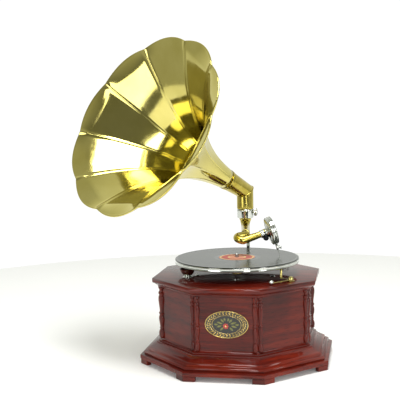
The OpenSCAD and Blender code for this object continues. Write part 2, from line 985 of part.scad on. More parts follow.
module gooseneck() {
    color(brass) {
        swept_tube(neck_path, neck_radii, [0, 0, 1]);
        along(joint_pos, joint_turn, joint_slope) {
            translate([0, 0, gap])
                cylinder(r = 9, h = 3, $fn = 56);
            translate([0, 0, -9])
                cylinder(r = 6, h = 10, $fn = 48);
        }
    }
}

module at_soundbox() {
    along(soundbox_pos, soundbox_turn, soundbox_slope)
        children();
}

// split sleeve with ears below, clamped by a knurled black screw
module soundbox_clamp() {
    at_soundbox() {
        color(chrome)
            difference() {
                union() {
                    translate([0, 0, -24])
                        cylinder(r = 8.5, h = 12, $fn = 56);
                    translate([6, -4.5, -20])
                        cube([7, 9, 8]);
                }
                translate([0, 0, -26])
                    cylinder(r = 6.5, h = 13.2, $fn = 48);
            }
        color("#222222")
            translate([9, -4.5, -16])
                rotate([90, 0, 0])
                    difference() {
                        cylinder(r = 5.6, h = 5, $fn = 48);
                        for (k = [0 : 11])
                            facing(30 * k)
                                translate([5.9, 0, -1])
                                    cylinder(r = 0.8, h = 8, $fn = 16);
                    }
    }
}

module soundbox_case() {
    r = soundbox_r;
    color(chrome)
        at_soundbox()
            difference() {
                rotate_extrude($fn = 96)
                    polygon([[0, -12], [8.5, -12], [10, -9.5], [14, -7], [26, -6], [28.4, -5.2],
                        [r, -4], [r, 4], [25.5, 4], [25.5, -2], [0, -2]]);
                translate([0, 0, -14])
                    cylinder(r = 4.5, h = 20, $fn = 40);
                translate([20, -4, -0.5])
                    cube([20, 8, 10]);
            }
}

module soundbox_ring() {
    r = soundbox_r;
    color(chrome)
        at_soundbox()
            difference() {
                rotate_extrude($fn = 96)
                    polygon([[r - 5.5, 4], [r, 4], [r, 5.6], [r - 1, 6.4], [r - 4.5, 6.4], [r - 5.5, 5.4]]);
                translate([15, -4, 3])
                    cube([20, 8, 10]);
            }
}

// two rubber rings that grip the diaphragm's edge
module gaskets() {
    color("#30241f")
        at_soundbox() {
            ring(25.5, 22.5, -2, -1.2);
            difference() {
                ring(25.5, 22.5, -0.6, 0.4);
                translate([18, -4, -0.5])
                    cube([20, 8, 10]);
            }
        }
}

module diaphragm() {
    color("#e2dccb")
        at_soundbox()
            translate([0, 0, -1.2])
                cylinder(r = 25.4, h = 0.6, $fn = 96);
}

// lever from the middle of the diaphragm to the needle holder below the rim
module stylus_bar() {
    color(steel)
        at_soundbox() {
            translate([0, 0, -0.6])
                cylinder(r = 1.6, h = 3.2, $fn = 32);
            translate([-1.4, -1.4, 1])
                cube([26, 2.8, 1.6]);
            translate([23.5, -3, 0])
                cube([7, 6, 4]);
            difference() {
                translate([29, 0, 2])
                    rotate([0, 90, 0])
                        cylinder(r = 3, h = 13, $fn = 40);
                translate([30, 0, 2])
                    rotate([0, 90, 0])
                        cylinder(r = 0.8, h = 14, $fn = 24);
                translate([38, 0, 2])
                    cylinder(r = 1.5 + fit, h = 10, $fn = 32);
            }
        }
}

module needle() {
    color(chrome)
        at_soundbox()
            translate([needle_reach - 21, 0, needle_side])
                rotate([0, 90, 0]) {
                    cylinder(r = 0.75, h = 16, $fn = 24);
                    translate([0, 0, 16])
                        cylinder(r1 = 0.75, r2 = 0.12, h = 5, $fn = 24);
                }
}

module needle_screw() {
    color(chrome)
        at_soundbox()
            translate([38, 0, 0]) {
                translate([0, 0, 3])
                    cylinder(r = 1.5, h = 5, $fn = 32);
                translate([0, 0, 6.5])
                    difference() {
                        cylinder(r = 4.2, h = 3, $fn = 48);
                        for (k = [0 : 11])
                            facing(30 * k)
                                translate([4.4, 0, -1])
                                    cylinder(r = 0.6, h = 5, $fn = 16);
                    }
            }
}

// ---------- horn ----------

module at_horn() {
    along(elbow_pos, horn_turn, horn_slope)
        children();
}

throat_len = 68;
lip_start = 321;
flare = 2.81;
throat_r = 19;
mouth_tilt = (90 - horn_slope) / 2;

// half of space on the horn's side of the elbow's mitre
module horn_side() {
    translate(elbow_pos)
        rotate([0, mouth_tilt, horn_turn])
            translate([-100, -100, 0])
                cube([200, 200, 200]);
}

module elbow_leg(r, z0) {
    difference() {
        translate([pivot_x, pivot_y, z0])
            cylinder(r = r, h = elbow_pos[2] + 40 - z0, $fn = 72);
        horn_side();
    }
}

module elbow_neck(r0, r1, extra) {
    intersection() {
        at_horn()
            translate([0, 0, -30])
                rotate([0, 0, 70])
                    cylinder(r1 = r0, r2 = r1, h = throat_len + 30 + extra, $fn = 72);
        horn_side();
    }
}

module horn_elbow() {
    base = collar_z[1] + gap;
    color(brass)
        difference() {
            union() {
                elbow_leg(18, base + 2);
                elbow_neck(18, 21.4, 0);
                translate([pivot_x, pivot_y, base])
                    cylinder(r1 = 17, r2 = 18, h = 2, $fn = 72);
                translate([pivot_x, pivot_y, collar_z[0] + 9])
                    cylinder(r = 15, h = base - collar_z[0] - 9, $fn = 72);
            }
            elbow_leg(13.5, collar_z[0]);
            elbow_neck(15.5, 19, 1);
        }
}

// flared profile, then a flatter lip; s runs 0 to 1 from the throat to the rim
function bell_t(s) = s < 0.86 ? throat_len + (lip_start - throat_len) * s / 0.86
    : lip_start + (horn_len - lip_start) * (s - 0.86) / 0.14;
function flare_r(t) = throat_r + (mouth_r - throat_r) * pow(t / horn_len, flare);
function bell_r(s) = s < 0.86 ? flare_r(bell_t(s))
    : flare_r(lip_start) + (mouth_r - flare_r(lip_start)) * (s - 0.86) / 0.14;
// each petal is nearly flat between its two seams, and the lip swells out into a scallop
function flatness(s) = 0.75 * min(max((s - 0.08) / 0.4, 0), 1);
function petal_face(s, a) = (1 - 0.024 * pow(s, 1.6))
    * (1 - flatness(s) * (1 - cos(180 / petals) / cos(abs(a) % (360 / petals) - 180 / petals)));
function petal(s, a) = s <= 0.86 ? petal_face(s, a)
    : petal_face(0.86, a) + (0.986 + 0.042 * abs(sin(petals * a / 2)) - petal_face(0.86, a)) * (s - 0.86) / 0.14;
function bell_point(s, a, wall) = let (
    ds = 0.01,
    dt = bell_t(min(s + ds, 1)) - bell_t(max(s - ds, 0)),
    dr = bell_r(min(s + ds, 1)) - bell_r(max(s - ds, 0)),
    n = wall / norm([dt, dr]),
    r = bell_r(s) * petal(s, a) + n * dt,
    t = bell_t(s) - n * dr * (s > 0.02 ? 1 : 0)
) [r * cos(a), r * sin(a), t];

module horn_bell() {
    rows = 15;
    cols = petals * 6;
    wall = 1.6;
    seam_turn = 23.3;
    s_of = [for (i = [0 : rows]) i < rows - 2 ? 0.86 * pow(i / (rows - 2), 0.8) : 0.86 + 0.07 * (i - rows + 2)];
    inner = [for (i = [0 : rows], j = [0 : cols - 1]) bell_point(s_of[i], 360 * j / cols, 0)];
    outer = [for (i = [0 : rows], j = [0 : cols - 1]) bell_point(s_of[i], 360 * j / cols, wall)];
    m = (rows + 1) * cols;
    color(brass)
        at_horn()
            rotate([0, 0, seam_turn])
                polyhedron(
                    points = concat(inner, outer),
                    faces = concat(
                        [for (i = [0 : rows - 1], j = [0 : cols - 1]) let (k = (j + 1) % cols)
                            [i * cols + j, (i + 1) * cols + j, (i + 1) * cols + k, i * cols + k]],
                        [for (i = [0 : rows - 1], j = [0 : cols - 1]) let (k = (j + 1) % cols)
                            [m + i * cols + j, m + i * cols + k, m + (i + 1) * cols + k, m + (i + 1) * cols + j]],
                        [for (j = [0 : cols - 1]) let (k = (j + 1) % cols)
                            [j, k, m + k, m + j]],
                        [for (j = [0 : cols - 1]) let (k = (j + 1) % cols, a = rows * cols)
                            [a + k, a + j, m + a + j, m + a + k]]),
                    convexity = 8);
}

base_board();
bracket_feet();
base_moulding();
front_panel();
crank_panel();
side_panels();
corner_balusters();
frieze();
top_board();
badge_plate();
needle_cup();
rear_bracket();
screws();
escutcheon();
motor_plate();
motor_pillars();
lower_plate();
pillar_nuts();
click_spring();
spindle_bush();
brake_bracket();
collar();
collar_screw();
crank_shaft();
crank_pinion();
crank_handle();
crank_grip();
winding_arbor();
arbor_gear();
ratchet_wheel();
click_pawl();
spring_barrel();
barrel_cover();
mainspring();
spindle();
worm_wheel();
platter();
platter_mat();
record();
record_labels();
governor_shaft();
governor_weights();
governor_springs();
friction_disc();
speed_lever();
speed_knob();
brake_lever();
brake_pad();
tonearm();
gooseneck();
soundbox_clamp();
soundbox_case();
soundbox_ring();
gaskets();
diaphragm();
stylus_bar();
needle_screw();
needle();
horn_elbow();
horn_bell();
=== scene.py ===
from math import atan2, cos, degrees, hypot, pi, radians, sin, tan

import bmesh
import bpy
from mathutils import Matrix, Vector


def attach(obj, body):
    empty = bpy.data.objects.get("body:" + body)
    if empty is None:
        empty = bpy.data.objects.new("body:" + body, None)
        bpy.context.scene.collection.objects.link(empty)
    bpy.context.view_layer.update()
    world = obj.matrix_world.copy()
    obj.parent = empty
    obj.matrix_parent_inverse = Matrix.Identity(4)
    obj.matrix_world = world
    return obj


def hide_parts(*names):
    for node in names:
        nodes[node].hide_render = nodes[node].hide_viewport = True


# A table phonograph with an eight-sided cabinet and a petalled brass horn.
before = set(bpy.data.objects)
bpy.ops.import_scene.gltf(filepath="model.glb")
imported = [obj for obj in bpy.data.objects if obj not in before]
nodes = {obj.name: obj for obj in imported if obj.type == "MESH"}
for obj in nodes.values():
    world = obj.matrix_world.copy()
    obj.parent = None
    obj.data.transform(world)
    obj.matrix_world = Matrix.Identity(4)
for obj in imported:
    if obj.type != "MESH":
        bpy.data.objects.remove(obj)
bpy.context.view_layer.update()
mm = 0.001
halfCorner = radians(22.5)  # half the turn from one side of the cabinet to the next
print("frame loaded,", len(nodes), "nodes")


def linearColour(hexText):
    parts = [int(hexText[i:i + 2], 16) / 255 for i in (1, 3, 5)]
    return tuple(p / 12.92 if p <= 0.04045 else ((p + 0.055) / 1.055) ** 2.4 for p in parts) + (1.0,)


def addNode(tree, kind, settings=None, links=None):
    node = tree.nodes.new(kind)
    for key, value in (settings or {}).items():
        if key == "stops":
            ends = node.color_ramp.elements
            ends[0].position, ends[0].color = value[0]
            ends[1].position, ends[1].color = value[-1]
            for position, colour in value[1:-1]:
                ends.new(position).color = colour
        elif isinstance(key, int) or key in node.inputs:
            node.inputs[key].default_value = value
        else:
            setattr(node, key, value)
    for key, source in (links or {}).items():
        tree.links.new(source, node.inputs[key])
    return node


def newMaterial(name, shader):
    material = bpy.data.materials.new(name)
    material.use_nodes = True
    tree = material.node_tree
    tree.nodes.clear()
    surface = addNode(tree, "ShaderNodeBsdfPrincipled", shader)
    addNode(tree, "ShaderNodeOutputMaterial", links={"Surface": surface.outputs[0]})
    return material, tree, surface


def noise(tree, place, size, detail, roughness=0.5, distortion=0.0):
    # clouds about size millimetres wide
    return addNode(tree, "ShaderNodeTexNoise", {"Scale": 1000.0 / size, "Detail": detail,
                                                "Roughness": roughness,
                                                "Distortion": distortion}, {"Vector": place}).outputs[0]


def ramp(tree, source, *stops):
    stops = [(position, linearColour(colour)) for position, colour in stops]
    return addNode(tree, "ShaderNodeValToRGB", {"stops": stops}, {0: source}).outputs[0]


def spread(tree, source, low, high, first, last):
    # low to high of the source becomes first to last
    return addNode(tree, "ShaderNodeMapRange", {1: low, 2: high, 3: first, 4: last}, {0: source}).outputs[0]


def relief(tree, height, depth, under=None):
    # bumps of a depth in millimetres, over another relief if one is given
    links = {"Height": height}
    if under is not None:
        links["Normal"] = under
    return addNode(tree, "ShaderNodeBump", {"Strength": 1.0, "Distance": depth * mm}, links).outputs[0]


def placeOf(tree, attribute=None):
    # a place stored on the piece, or else the plain place in its frame
    if attribute:
        return addNode(tree, "ShaderNodeAttribute", {"attribute_name": attribute}).outputs["Vector"]
    return addNode(tree, "ShaderNodeTexCoord").outputs["Object"]


def stretched(tree, place, scale):
    return addNode(tree, "ShaderNodeMapping", {"Scale": scale}, {"Vector": place}).outputs[0]


def fromAxis(tree, place):
    # distance from the spindle's line
    flat = addNode(tree, "ShaderNodeVectorMath", {"operation": "MULTIPLY", 1: (1, 1, 0)}, {0: place})
    return addNode(tree, "ShaderNodeVectorMath", {"operation": "LENGTH"},
                   {0: flat.outputs[0]}).outputs["Value"]


def times(tree, source, factor):
    return addNode(tree, "ShaderNodeMath", {"operation": "MULTIPLY", 1: factor}, {0: source}).outputs[0]


def multiplied(tree, first, second):
    return addNode(tree, "ShaderNodeMix", {"data_type": "RGBA", "blend_type": "MULTIPLY", 0: 1.0},
                   {6: first, 7: second}).outputs[2]


def layOn(tree, surface, colour, gloss, normal):
    for name, source in (("Base Color", colour), ("Roughness", gloss), ("Normal", normal)):
        if source is not None:
            tree.links.new(source, surface.inputs[name])


# camera, lights and the room

cameraSetup = {
    "place": (272.1, -1744.2, 503.8),  # mm
    "turn": -11.222,
    "tilt": -5.859,
    "roll": -1.177,
    "lens": 79.14,
}


def setCamera(setup):
    turn, tilt, roll = (radians(setup[k]) for k in ("turn", "tilt", "roll"))
    ahead = Vector((sin(turn) * cos(tilt), cos(turn) * cos(tilt), sin(tilt)))
    side = ahead.cross(Vector((0, 0, 1))).normalized()
    above = side.cross(ahead)
    xAxis = cos(roll) * side + sin(roll) * above
    yAxis = -sin(roll) * side + cos(roll) * above
    camera = bpy.data.objects.new("camera", bpy.data.cameras.new("camera"))
    camera.data.lens = setup["lens"]
    camera.data.sensor_width = 36
    camera.data.clip_start = 0.05
    camera.data.clip_end = 50
    camera.matrix_world = Matrix((
        (xAxis[0], yAxis[0], -ahead[0], setup["place"][0] * mm),
        (xAxis[1], yAxis[1], -ahead[1], setup["place"][1] * mm),
        (xAxis[2], yAxis[2], -ahead[2], setup["place"][2] * mm),
        (0, 0, 0, 1)))
    bpy.context.scene.collection.objects.link(camera)
    bpy.context.scene.camera = camera


setCamera(cameraSetup)

studio = {
    "softboxes": [
        # name, place, aim, width, height, watts
        ("windowSoftbox", (-1.14, -1.77, 0.75), (-0.15, -0.05, 0.55), 0.8, 1.7, 13),
        ("topSoftbox", (0.21, -0.73, 2.24), (-0.15, -0.05, 0.4), 0.9, 1.1, 42),
        ("rightSoftbox", (1.7, -1.1, 0.9), (0.0, 0.0, 0.25), 0.4, 1.1, 9),
        ("frontStrip", (0.95, -1.96, 0.6), (0.0, 0.1, 0.3), 0.36, 1.0, 9),
    ],
    "backdrop": ("#FFFFFF", 1.05),
    "room": ((0.0, "#74756F"), (0.3, "#B2B3AC"), (0.75, "#B6B8B0"), (1.0, "#F1F3EE")),  # front to back
    "roomSpan": (-0.9, 0.7),
}


def setStudio(setup):
    for name, place, aim, width, height, watts in setup["softboxes"]:
        lamp = bpy.data.lights.new(name, "AREA")
        lamp.shape = "RECTANGLE"
        lamp.size, lamp.size_y, lamp.energy = width, height, watts
        light = bpy.data.objects.new(name, lamp)
        light.location = place
        light.rotation_euler = (Vector(aim) - Vector(place)).to_track_quat("-Z", "Y").to_euler()
        bpy.context.scene.collection.objects.link(light)
    world = bpy.data.worlds.new("studioRoom")
    world.use_nodes = True
    bpy.context.scene.world = world
    tree = world.node_tree
    tree.nodes.clear()
    # the room is bright behind the table and darker in front of it
    direction = addNode(tree, "ShaderNodeSeparateXYZ",
                        links={0: addNode(tree, "ShaderNodeTexCoord").outputs["Generated"]})
    low, high = setup["roomSpan"]
    depth = addNode(tree, "ShaderNodeMapRange",
                    {1: low, 2: high, 3: 0.0, 4: 1.0, "interpolation_type": "SMOOTHSTEP"},
                    {0: direction.outputs["Y"]})
    room = ramp(tree, depth.outputs[0], *setup["room"])
    seen = addNode(tree, "ShaderNodeLightPath")
    roomLight = addNode(tree, "ShaderNodeBackground", {"Strength": 1.0}, {"Color": room})
    colour, strength = setup["backdrop"]
    backdrop = addNode(tree, "ShaderNodeBackground", {"Color": linearColour(colour), "Strength": strength})
    chosen = addNode(tree, "ShaderNodeMixShader", links={
        0: seen.outputs["Is Camera Ray"], 1: roomLight.outputs[0], 2: backdrop.outputs[0]})
    addNode(tree, "ShaderNodeOutputWorld", links={"Surface": chosen.outputs[0]})
    bpy.context.scene.view_settings.view_transform = "Standard"


setStudio(studio)


def linkPiece(piece):
    bpy.context.scene.collection.objects.link(piece)
    return piece


def makePiece(name, points, faces, material, place=None, sharpAngle=38):
    # points in millimetres, material by its name in finish; edges sharper than sharpAngle stay crisp
    mesh = bpy.data.meshes.new(name)
    where = place or Matrix.Identity(4)
    mesh.from_pydata([(where @ Vector(p)) * mm for p in points], [], faces)
    form = bmesh.new()
    form.from_mesh(mesh)
    bmesh.ops.remove_doubles(form, verts=form.verts, dist=1e-7)
    bmesh.ops.recalc_face_normals(form, faces=form.faces)
    limit = radians(sharpAngle)
    for face in form.faces:
        face.smooth = True
    for edge in form.edges:
        edge.smooth = not (edge.is_manifold and edge.calc_face_angle(0) > limit)
    form.to_mesh(mesh)
    form.free()
    mesh.materials.append(finish[material])
    return linkPiece(bpy.data.objects.new(name, mesh))


def at(x, y, z):
    return Matrix.Translation((x, y, z))


def rotated(turn, axis):
    return Matrix.Rotation(radians(turn), 4, axis)


def alongLine(place, turn, slope):
    # local Z runs along a direction, local X points down from it
    return Matrix.Translation(Vector(place)) @ rotated(turn, "Z") @ rotated(90 - slope, "Y")


def facing(direction):
    return rotated(direction, "Z")


def lathe(name, profile, material, place=None, sides=64, closed=False, shape=None, sharpAngle=38):
    # profile of (radius, height); shape may change a radius by angle, as knurling does
    points, rings = [], []
    for r, z in profile:
        if r < 1e-4:
            rings.append([len(points)])
            points.append((0, 0, z))
            continue
        ring = []
        for j in range(sides):
            angle = 2 * pi * j / sides
            radius = shape(r, z, angle) if shape else r
            ring.append(len(points))
            points.append((radius * cos(angle), radius * sin(angle), z))
        rings.append(ring)
    pairs = list(zip(rings, rings[1:] + ([rings[0]] if closed else [])))
    faces = []
    for a, b in pairs if closed else zip(rings, rings[1:]):
        for j in range(sides):
            k = (j + 1) % sides
            if len(a) == 1 and len(b) == 1:
                continue
            if len(a) == 1:
                faces.append((a[0], b[j], b[k]))
            elif len(b) == 1:
                faces.append((a[j], b[0], a[k]))
            else:
                faces.append((a[j], b[j], b[k], a[k]))
    return makePiece(name, points, faces, material, place, sharpAngle)


def sweep(name, path, radii, material, sides=32, flat=1.0, closed=False, sharpAngle=50):
    # round section carried along a path without twist; flat squashes it across
    path = [Vector(p) for p in path]
    count = len(path)
    ahead = []
    for i in range(count):
        before = path[i - 1] if closed or i else path[0]
        after = path[(i + 1) % count] if closed or i < count - 1 else path[-1]
        ahead.append((after - before).normalized())
    side = ahead[0].orthogonal().normalized()
    points, faces = [], []
    for i, centre in enumerate(path):
        side = (side - side.dot(ahead[i]) * ahead[i]).normalized()
        across = ahead[i].cross(side)
        r = radii[i] if isinstance(radii, (list, tuple)) else radii
        for j in range(sides):
            angle = 2 * pi * j / sides
            points.append(centre + r * (cos(angle) * side + flat * sin(angle) * across))
    for i in range(count if closed else count - 1):
        n = (i + 1) % count
        for j in range(sides):
            k = (j + 1) % sides
            faces.append((i * sides + j, n * sides + j, n * sides + k, i * sides + k))
    if not closed:
        faces.append(tuple(range(sides)))
        faces.append(tuple((count - 1) * sides + j for j in reversed(range(sides))))
    return makePiece(name, points, faces, material, None, sharpAngle)


def prism(name, outline, low, high, material, place=None, sharpAngle=38):
    count = len(outline)
    points = [(x, y, z) for z in (low, high) for x, y in outline]
    faces = [tuple(range(count)), tuple(count + j for j in range(count))]
    faces += [(j, (j + 1) % count, count + (j + 1) % count, count + j) for j in range(count)]
    return makePiece(name, points, faces, material, place, sharpAngle)


def easeEdges(piece, width, segments=2, angle=40):
    # small worn radius on every hard edge
    bevel = piece.modifiers.new("easedEdges", "BEVEL")
    bevel.width, bevel.segments = width * mm, segments
    bevel.limit_method = "ANGLE"
    bevel.angle_limit = radians(angle)
    bevel.harden_normals = False
    return piece


def applyModifiers(piece):
    graph = bpy.context.evaluated_depsgraph_get()
    solid = bpy.data.meshes.new_from_object(piece.evaluated_get(graph))
    piece.modifiers.clear()
    piece.data = solid
    return piece


def joinPieces(name, pieces):
    for piece in pieces:
        if piece.modifiers:
            applyModifiers(piece)
    bpy.context.view_layer.update()
    with bpy.context.temp_override(active_object=pieces[0], object=pieces[0],
                                   selected_objects=pieces, selected_editable_objects=pieces):
        bpy.ops.object.join()
    pieces[0].name = name
    return pieces[0]


def spline(points, steps=8):
    # smooth curve through given points
    points = [Vector(p) for p in points]
    curve = []
    for i in range(len(points) - 1):
        a, b, c, d = points[max(i - 1, 0)], points[i], points[i + 1], points[min(i + 2, len(points) - 1)]
        for s in range(steps):
            t = s / steps
            curve.append(b + 0.5 * t * (c - a + t * (2 * a - 5 * b + 4 * c - d + t * (3 * (b - c) + d - a))))
    return curve + [points[-1]]


def show(piece, body, slot, *replaced):
    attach(piece, body)
    if replaced:
        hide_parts(*replaced)
    return piece


def frostedAcrylic(name, tones, roughness, grain, depth):
    # sheet of a shooting table, frosted by sanding and lit a little from below
    material, tree, surface = newMaterial(name, {
        "Roughness": roughness, "IOR": 1.49, "Emission Color": linearColour("#FFFFFF"),
        "Emission Strength": 0.1})
    stipple = noise(tree, placeOf(tree), grain, 3.0)
    layOn(tree, surface, ramp(tree, stipple, (0.3, tones[0]), (0.7, tones[1])), None,
          relief(tree, stipple, depth))
    return material


def polishedMetal(name, look):
    # cast, spun or drawn metal: close tones where it has tarnished, polishing lines along
    # look["lines"], and a sheet that is not quite flat, which makes reflections wander
    material, tree, surface = newMaterial(name, {"Metallic": 1.0})
    where = placeOf(tree, look.get("attribute"))
    cloud = noise(tree, where, look["cloud"], 4.0, 0.55)
    tone = ramp(tree, cloud, (0.32, look["tones"][0]), (0.68, look["tones"][1]))
    wipes = noise(tree, stretched(tree, where, look["lines"]), look["wipe"], 3.0, 0.6)
    gloss = spread(tree, wipes, 0.3, 0.75, *look["roughness"])
    swell = relief(tree, noise(tree, where, look["wave"], 1.0, 0.4), look["waveDepth"])
    layOn(tree, surface, tone, gloss, relief(tree, wipes, look["wipeDepth"], swell))
    return material


metals = {
    # spun sheet brass, buffed bright; deeper tone where polish never reaches
    "spunBrass": {"tones": ("#CCBF68", "#DCD07E"), "cloud": 90, "lines": (1, 1, 1), "wipe": 14,
                  "roughness": (0.06, 0.13), "wave": 46, "waveDepth": 0.32, "wipeDepth": 0.004,
                  "attribute": "sheetPlace"},
    # brass tube, bent and hand polished
    "tubeBrass": {"tones": ("#AE9C40", "#C8B860"), "cloud": 26, "lines": (1, 1, 0.12), "wipe": 3,
                  "roughness": (0.12, 0.24), "wave": 16, "waveDepth": 0.06, "wipeDepth": 0.006},
    # nickelled and chromed steel, mirror bright with a few wipe marks
    "chromePlate": {"tones": ("#BFC3BC", "#D9DCD6"), "cloud": 40, "lines": (1, 1, 0.3), "wipe": 4,
                    "roughness": (0.06, 0.15), "wave": 30, "waveDepth": 0.02, "wipeDepth": 0.003},
    # stamped brass strip, a little dull
    "stripBrass": {"tones": ("#B3A45A", "#D2C684"), "cloud": 12, "lines": (0.2, 1, 1), "wipe": 1.5,
                   "roughness": (0.18, 0.32), "wave": 10, "waveDepth": 0.03, "wipeDepth": 0.006},
    # cut gear brass, machined matt
    "gearBrass": {"tones": ("#A88A3E", "#C4A75C"), "cloud": 14, "lines": (1, 1, 6), "wipe": 1.2,
                  "roughness": (0.26, 0.4), "wave": 12, "waveDepth": 0.01, "wipeDepth": 0.008},
    # ground mild steel, lightly oiled
    "groundSteel": {"tones": ("#8C8E90", "#A5A7A8"), "cloud": 18, "lines": (1, 8, 1), "wipe": 1.4,
                    "roughness": (0.22, 0.38), "wave": 20, "waveDepth": 0.01, "wipeDepth": 0.008},
    # tempered spring steel, straw to blue
    "temperedSteel": {"tones": ("#4A5468", "#7B7664"), "cloud": 16, "lines": (1, 1, 4), "wipe": 1.5,
                      "roughness": (0.2, 0.3), "wave": 20, "waveDepth": 0.01, "wipeDepth": 0.004},
    # steel blackened in oil, knurled screws
    "blackedSteel": {"tones": ("#17181A", "#2B2D30"), "cloud": 6, "lines": (1, 1, 1), "wipe": 1,
                     "roughness": (0.25, 0.42), "wave": 8, "waveDepth": 0.01, "wipeDepth": 0.006},
    # gilt stamping of the badge
    "gildedBrass": {"tones": ("#C9A852", "#E7D08A"), "cloud": 7, "lines": (1, 1, 1), "wipe": 1,
                    "roughness": (0.2, 0.34), "wave": 5, "waveDepth": 0.02, "wipeDepth": 0.006},
}
finish = {name: polishedMetal(name, look) for name, look in metals.items()}

mahoganyLook = {
    "dark": "#380B05", "middle": "#541107", "light": "#75200C",
    "ribbon": 11,  # mm across the grain
    "ribbonRun": 210,  # mm along it
    "pore": 1.6,  # pores are 0.2 mm wide; drawn coarse so that they show
    "poreRun": 22,
    "blotch": 130,
    "brushMark": 7,
}


def varnishedMahogany(name, look, attribute="boardPlace", turn=0.0):
    # stained mahogany under thick brushed varnish: ribboned grain, dark pores, a wet-looking coat
    material, tree, surface = newMaterial(name, {
        "Roughness": 0.5, "IOR": 1.5, "Specular IOR Level": 0.06, "Coat Weight": 0.55, "Coat Roughness": 0.05,
        "Coat IOR": 1.5})
    where = placeOf(tree, attribute)
    if not attribute:
        where = addNode(tree, "ShaderNodeMapping", {"Rotation": (0, 0, radians(turn))},
                        {"Vector": where}).outputs[0]
    ribbonPlace = stretched(tree, where, (look["ribbon"] / look["ribbonRun"], 1, 1))
    ribbon = noise(tree, ribbonPlace, look["ribbon"], 5.0, 0.55, 0.5)
    blotch = noise(tree, where, look["blotch"], 2.0)
    mixed = addNode(tree, "ShaderNodeMath", {"operation": "MULTIPLY_ADD", 1: 0.6},
                    {0: blotch, 2: times(tree, ribbon, 0.62)})
    stain = ramp(tree, mixed.outputs[0], (0.42, look["dark"]), (0.6, look["middle"]), (0.8, look["light"]))
    porePlace = stretched(tree, where, (look["pore"] / look["poreRun"], 1, 1))
    pores = noise(tree, porePlace, look["pore"], 2.0)
    filled = multiplied(tree, stain, spread(tree, pores, 0.33, 0.46, 0.45, 1.0))
    layOn(tree, surface, filled, None, relief(tree, pores, 0.03))
    brushed = noise(tree, where, look["brushMark"], 2.0)
    tree.links.new(relief(tree, brushed, 0.05), surface.inputs["Coat Normal"])
    return material


finish["mahogany"] = varnishedMahogany("varnishedMahogany", mahoganyLook)
finish["mahoganyPanel"] = varnishedMahogany("varnishedMahoganyPanel", mahoganyLook, None, -45.0)


def pressedShellac(name, radius):
    # black shellac record: bright pressing with grooves; real grooves are 0.25 mm apart,
    # drawn 1.8 mm apart so that they show
    apart = 1.8
    material, tree, surface = newMaterial(name, {"IOR": 1.58})
    place = placeOf(tree)
    away = fromAxis(tree, place)
    grooves = addNode(tree, "ShaderNodeMath", {"operation": "SINE"},
                      {0: times(tree, away, 2 * pi / (apart * mm))})
    # grooves only between the run-out and the lead-in
    band = ramp(tree, times(tree, away, 1 / (radius * mm)), (0.0, "#000000"), (0.368, "#000000"),
                (0.376, "#FFFFFF"), (0.952, "#FFFFFF"), (0.96, "#000000"))
    cut = addNode(tree, "ShaderNodeMath", {"operation": "MULTIPLY"}, {0: grooves.outputs[0], 1: band})
    # near-black is the shellac's own colour; the grey-green lift in these tones is painted reflection of the
    # room
    tone = ramp(tree, noise(tree, place, 24, 3.0), (0.3, "#161A15"), (0.7, "#272D25"))
    layOn(tree, surface, tone, spread(tree, band, 0.0, 1.0, 0.12, 0.2), relief(tree, cut.outputs[0], 0.008))
    return material


def printedPaper(name, radius):
    # uncoated label paper with printed rings, soft and matt
    material, tree, surface = newMaterial(name, {"Roughness": 0.72, "IOR": 1.45})
    place = placeOf(tree)
    red, rose, straw = "#B4605A", "#CC8A76", "#D8C68C"
    rings = ramp(tree, times(tree, fromAxis(tree, place), 1 / (radius * mm)), (0.0, rose), (0.42, rose),
                 (0.44, straw), (0.5, straw), (0.52, red), (0.86, red), (0.88, straw), (0.93, straw),
                 (0.95, rose))
    fibre = noise(tree, place, 1.4, 4.0)
    ink = multiplied(tree, rings, spread(tree, fibre, 0.2, 0.8, 0.8, 1.1))
    layOn(tree, surface, ink, None, relief(tree, fibre, 0.02))
    return material


def woolFelt(name, tones, fibre, sheen):
    # pressed wool: short fibres, no gloss, a soft edge of light
    material, tree, surface = newMaterial(name, {
        "Roughness": 0.95, "IOR": 1.45, "Sheen Weight": sheen, "Sheen Roughness": 0.5})
    fibres = noise(tree, placeOf(tree), fibre, 5.0, 0.7, 1.2)
    layOn(tree, surface, ramp(tree, fibres, (0.3, tones[0]), (0.7, tones[1])), None,
          relief(tree, fibres, 0.25))
    return material


def cloudyCoat(name, tones, cloud, roughness, depth, coat=0.0, ior=1.5):
    # enamel, rubber and mica: two close tones, a gloss of its own and a faint uneven skin
    material, tree, surface = newMaterial(name, {"IOR": ior, "Coat Weight": coat, "Coat Roughness": 0.08})
    clouds = noise(tree, placeOf(tree), cloud, 4.0)
    layOn(tree, surface, ramp(tree, clouds, (0.3, tones[0]), (0.7, tones[1])),
          spread(tree, clouds, 0.3, 0.7, *roughness), relief(tree, clouds, depth))
    return material


recordR, labelR = 125, 36.5  # mm
finish["shellac"] = pressedShellac("pressedShellac", recordR)
finish["label"] = printedPaper("labelPaper", labelR)
finish["matFelt"] = woolFelt("greenWoolFelt", ("#22382A", "#3A5743"), 0.9, 0.4)
finish["padFelt"] = woolFelt("greyWoolFelt", ("#2C2B22", "#4A4838"), 0.8, 0.3)
finish["blackEnamel"] = cloudyCoat("blackStoveEnamel", ("#0D0D0B", "#1A1914"), 4, (0.25, 0.35), 0.01, 0.5)
finish["greenEnamel"] = cloudyCoat("oliveStoveEnamel", ("#4C5326", "#7C7C3C"), 2, (0.28, 0.4), 0.02, 0.4)
finish["redEnamel"] = cloudyCoat("redStoveEnamel", ("#8E1C16", "#C2402C"), 2, (0.25, 0.35), 0.02, 0.5)
finish["rubber"] = cloudyCoat("blackRubber", ("#171310", "#2C2521"), 1.5, (0.55, 0.75), 0.02)
finish["mica"] = cloudyCoat("sheetMica", ("#CFC8B0", "#EFE9D6"), 5, (0.12, 0.3), 0.02, 0.3, 1.58)
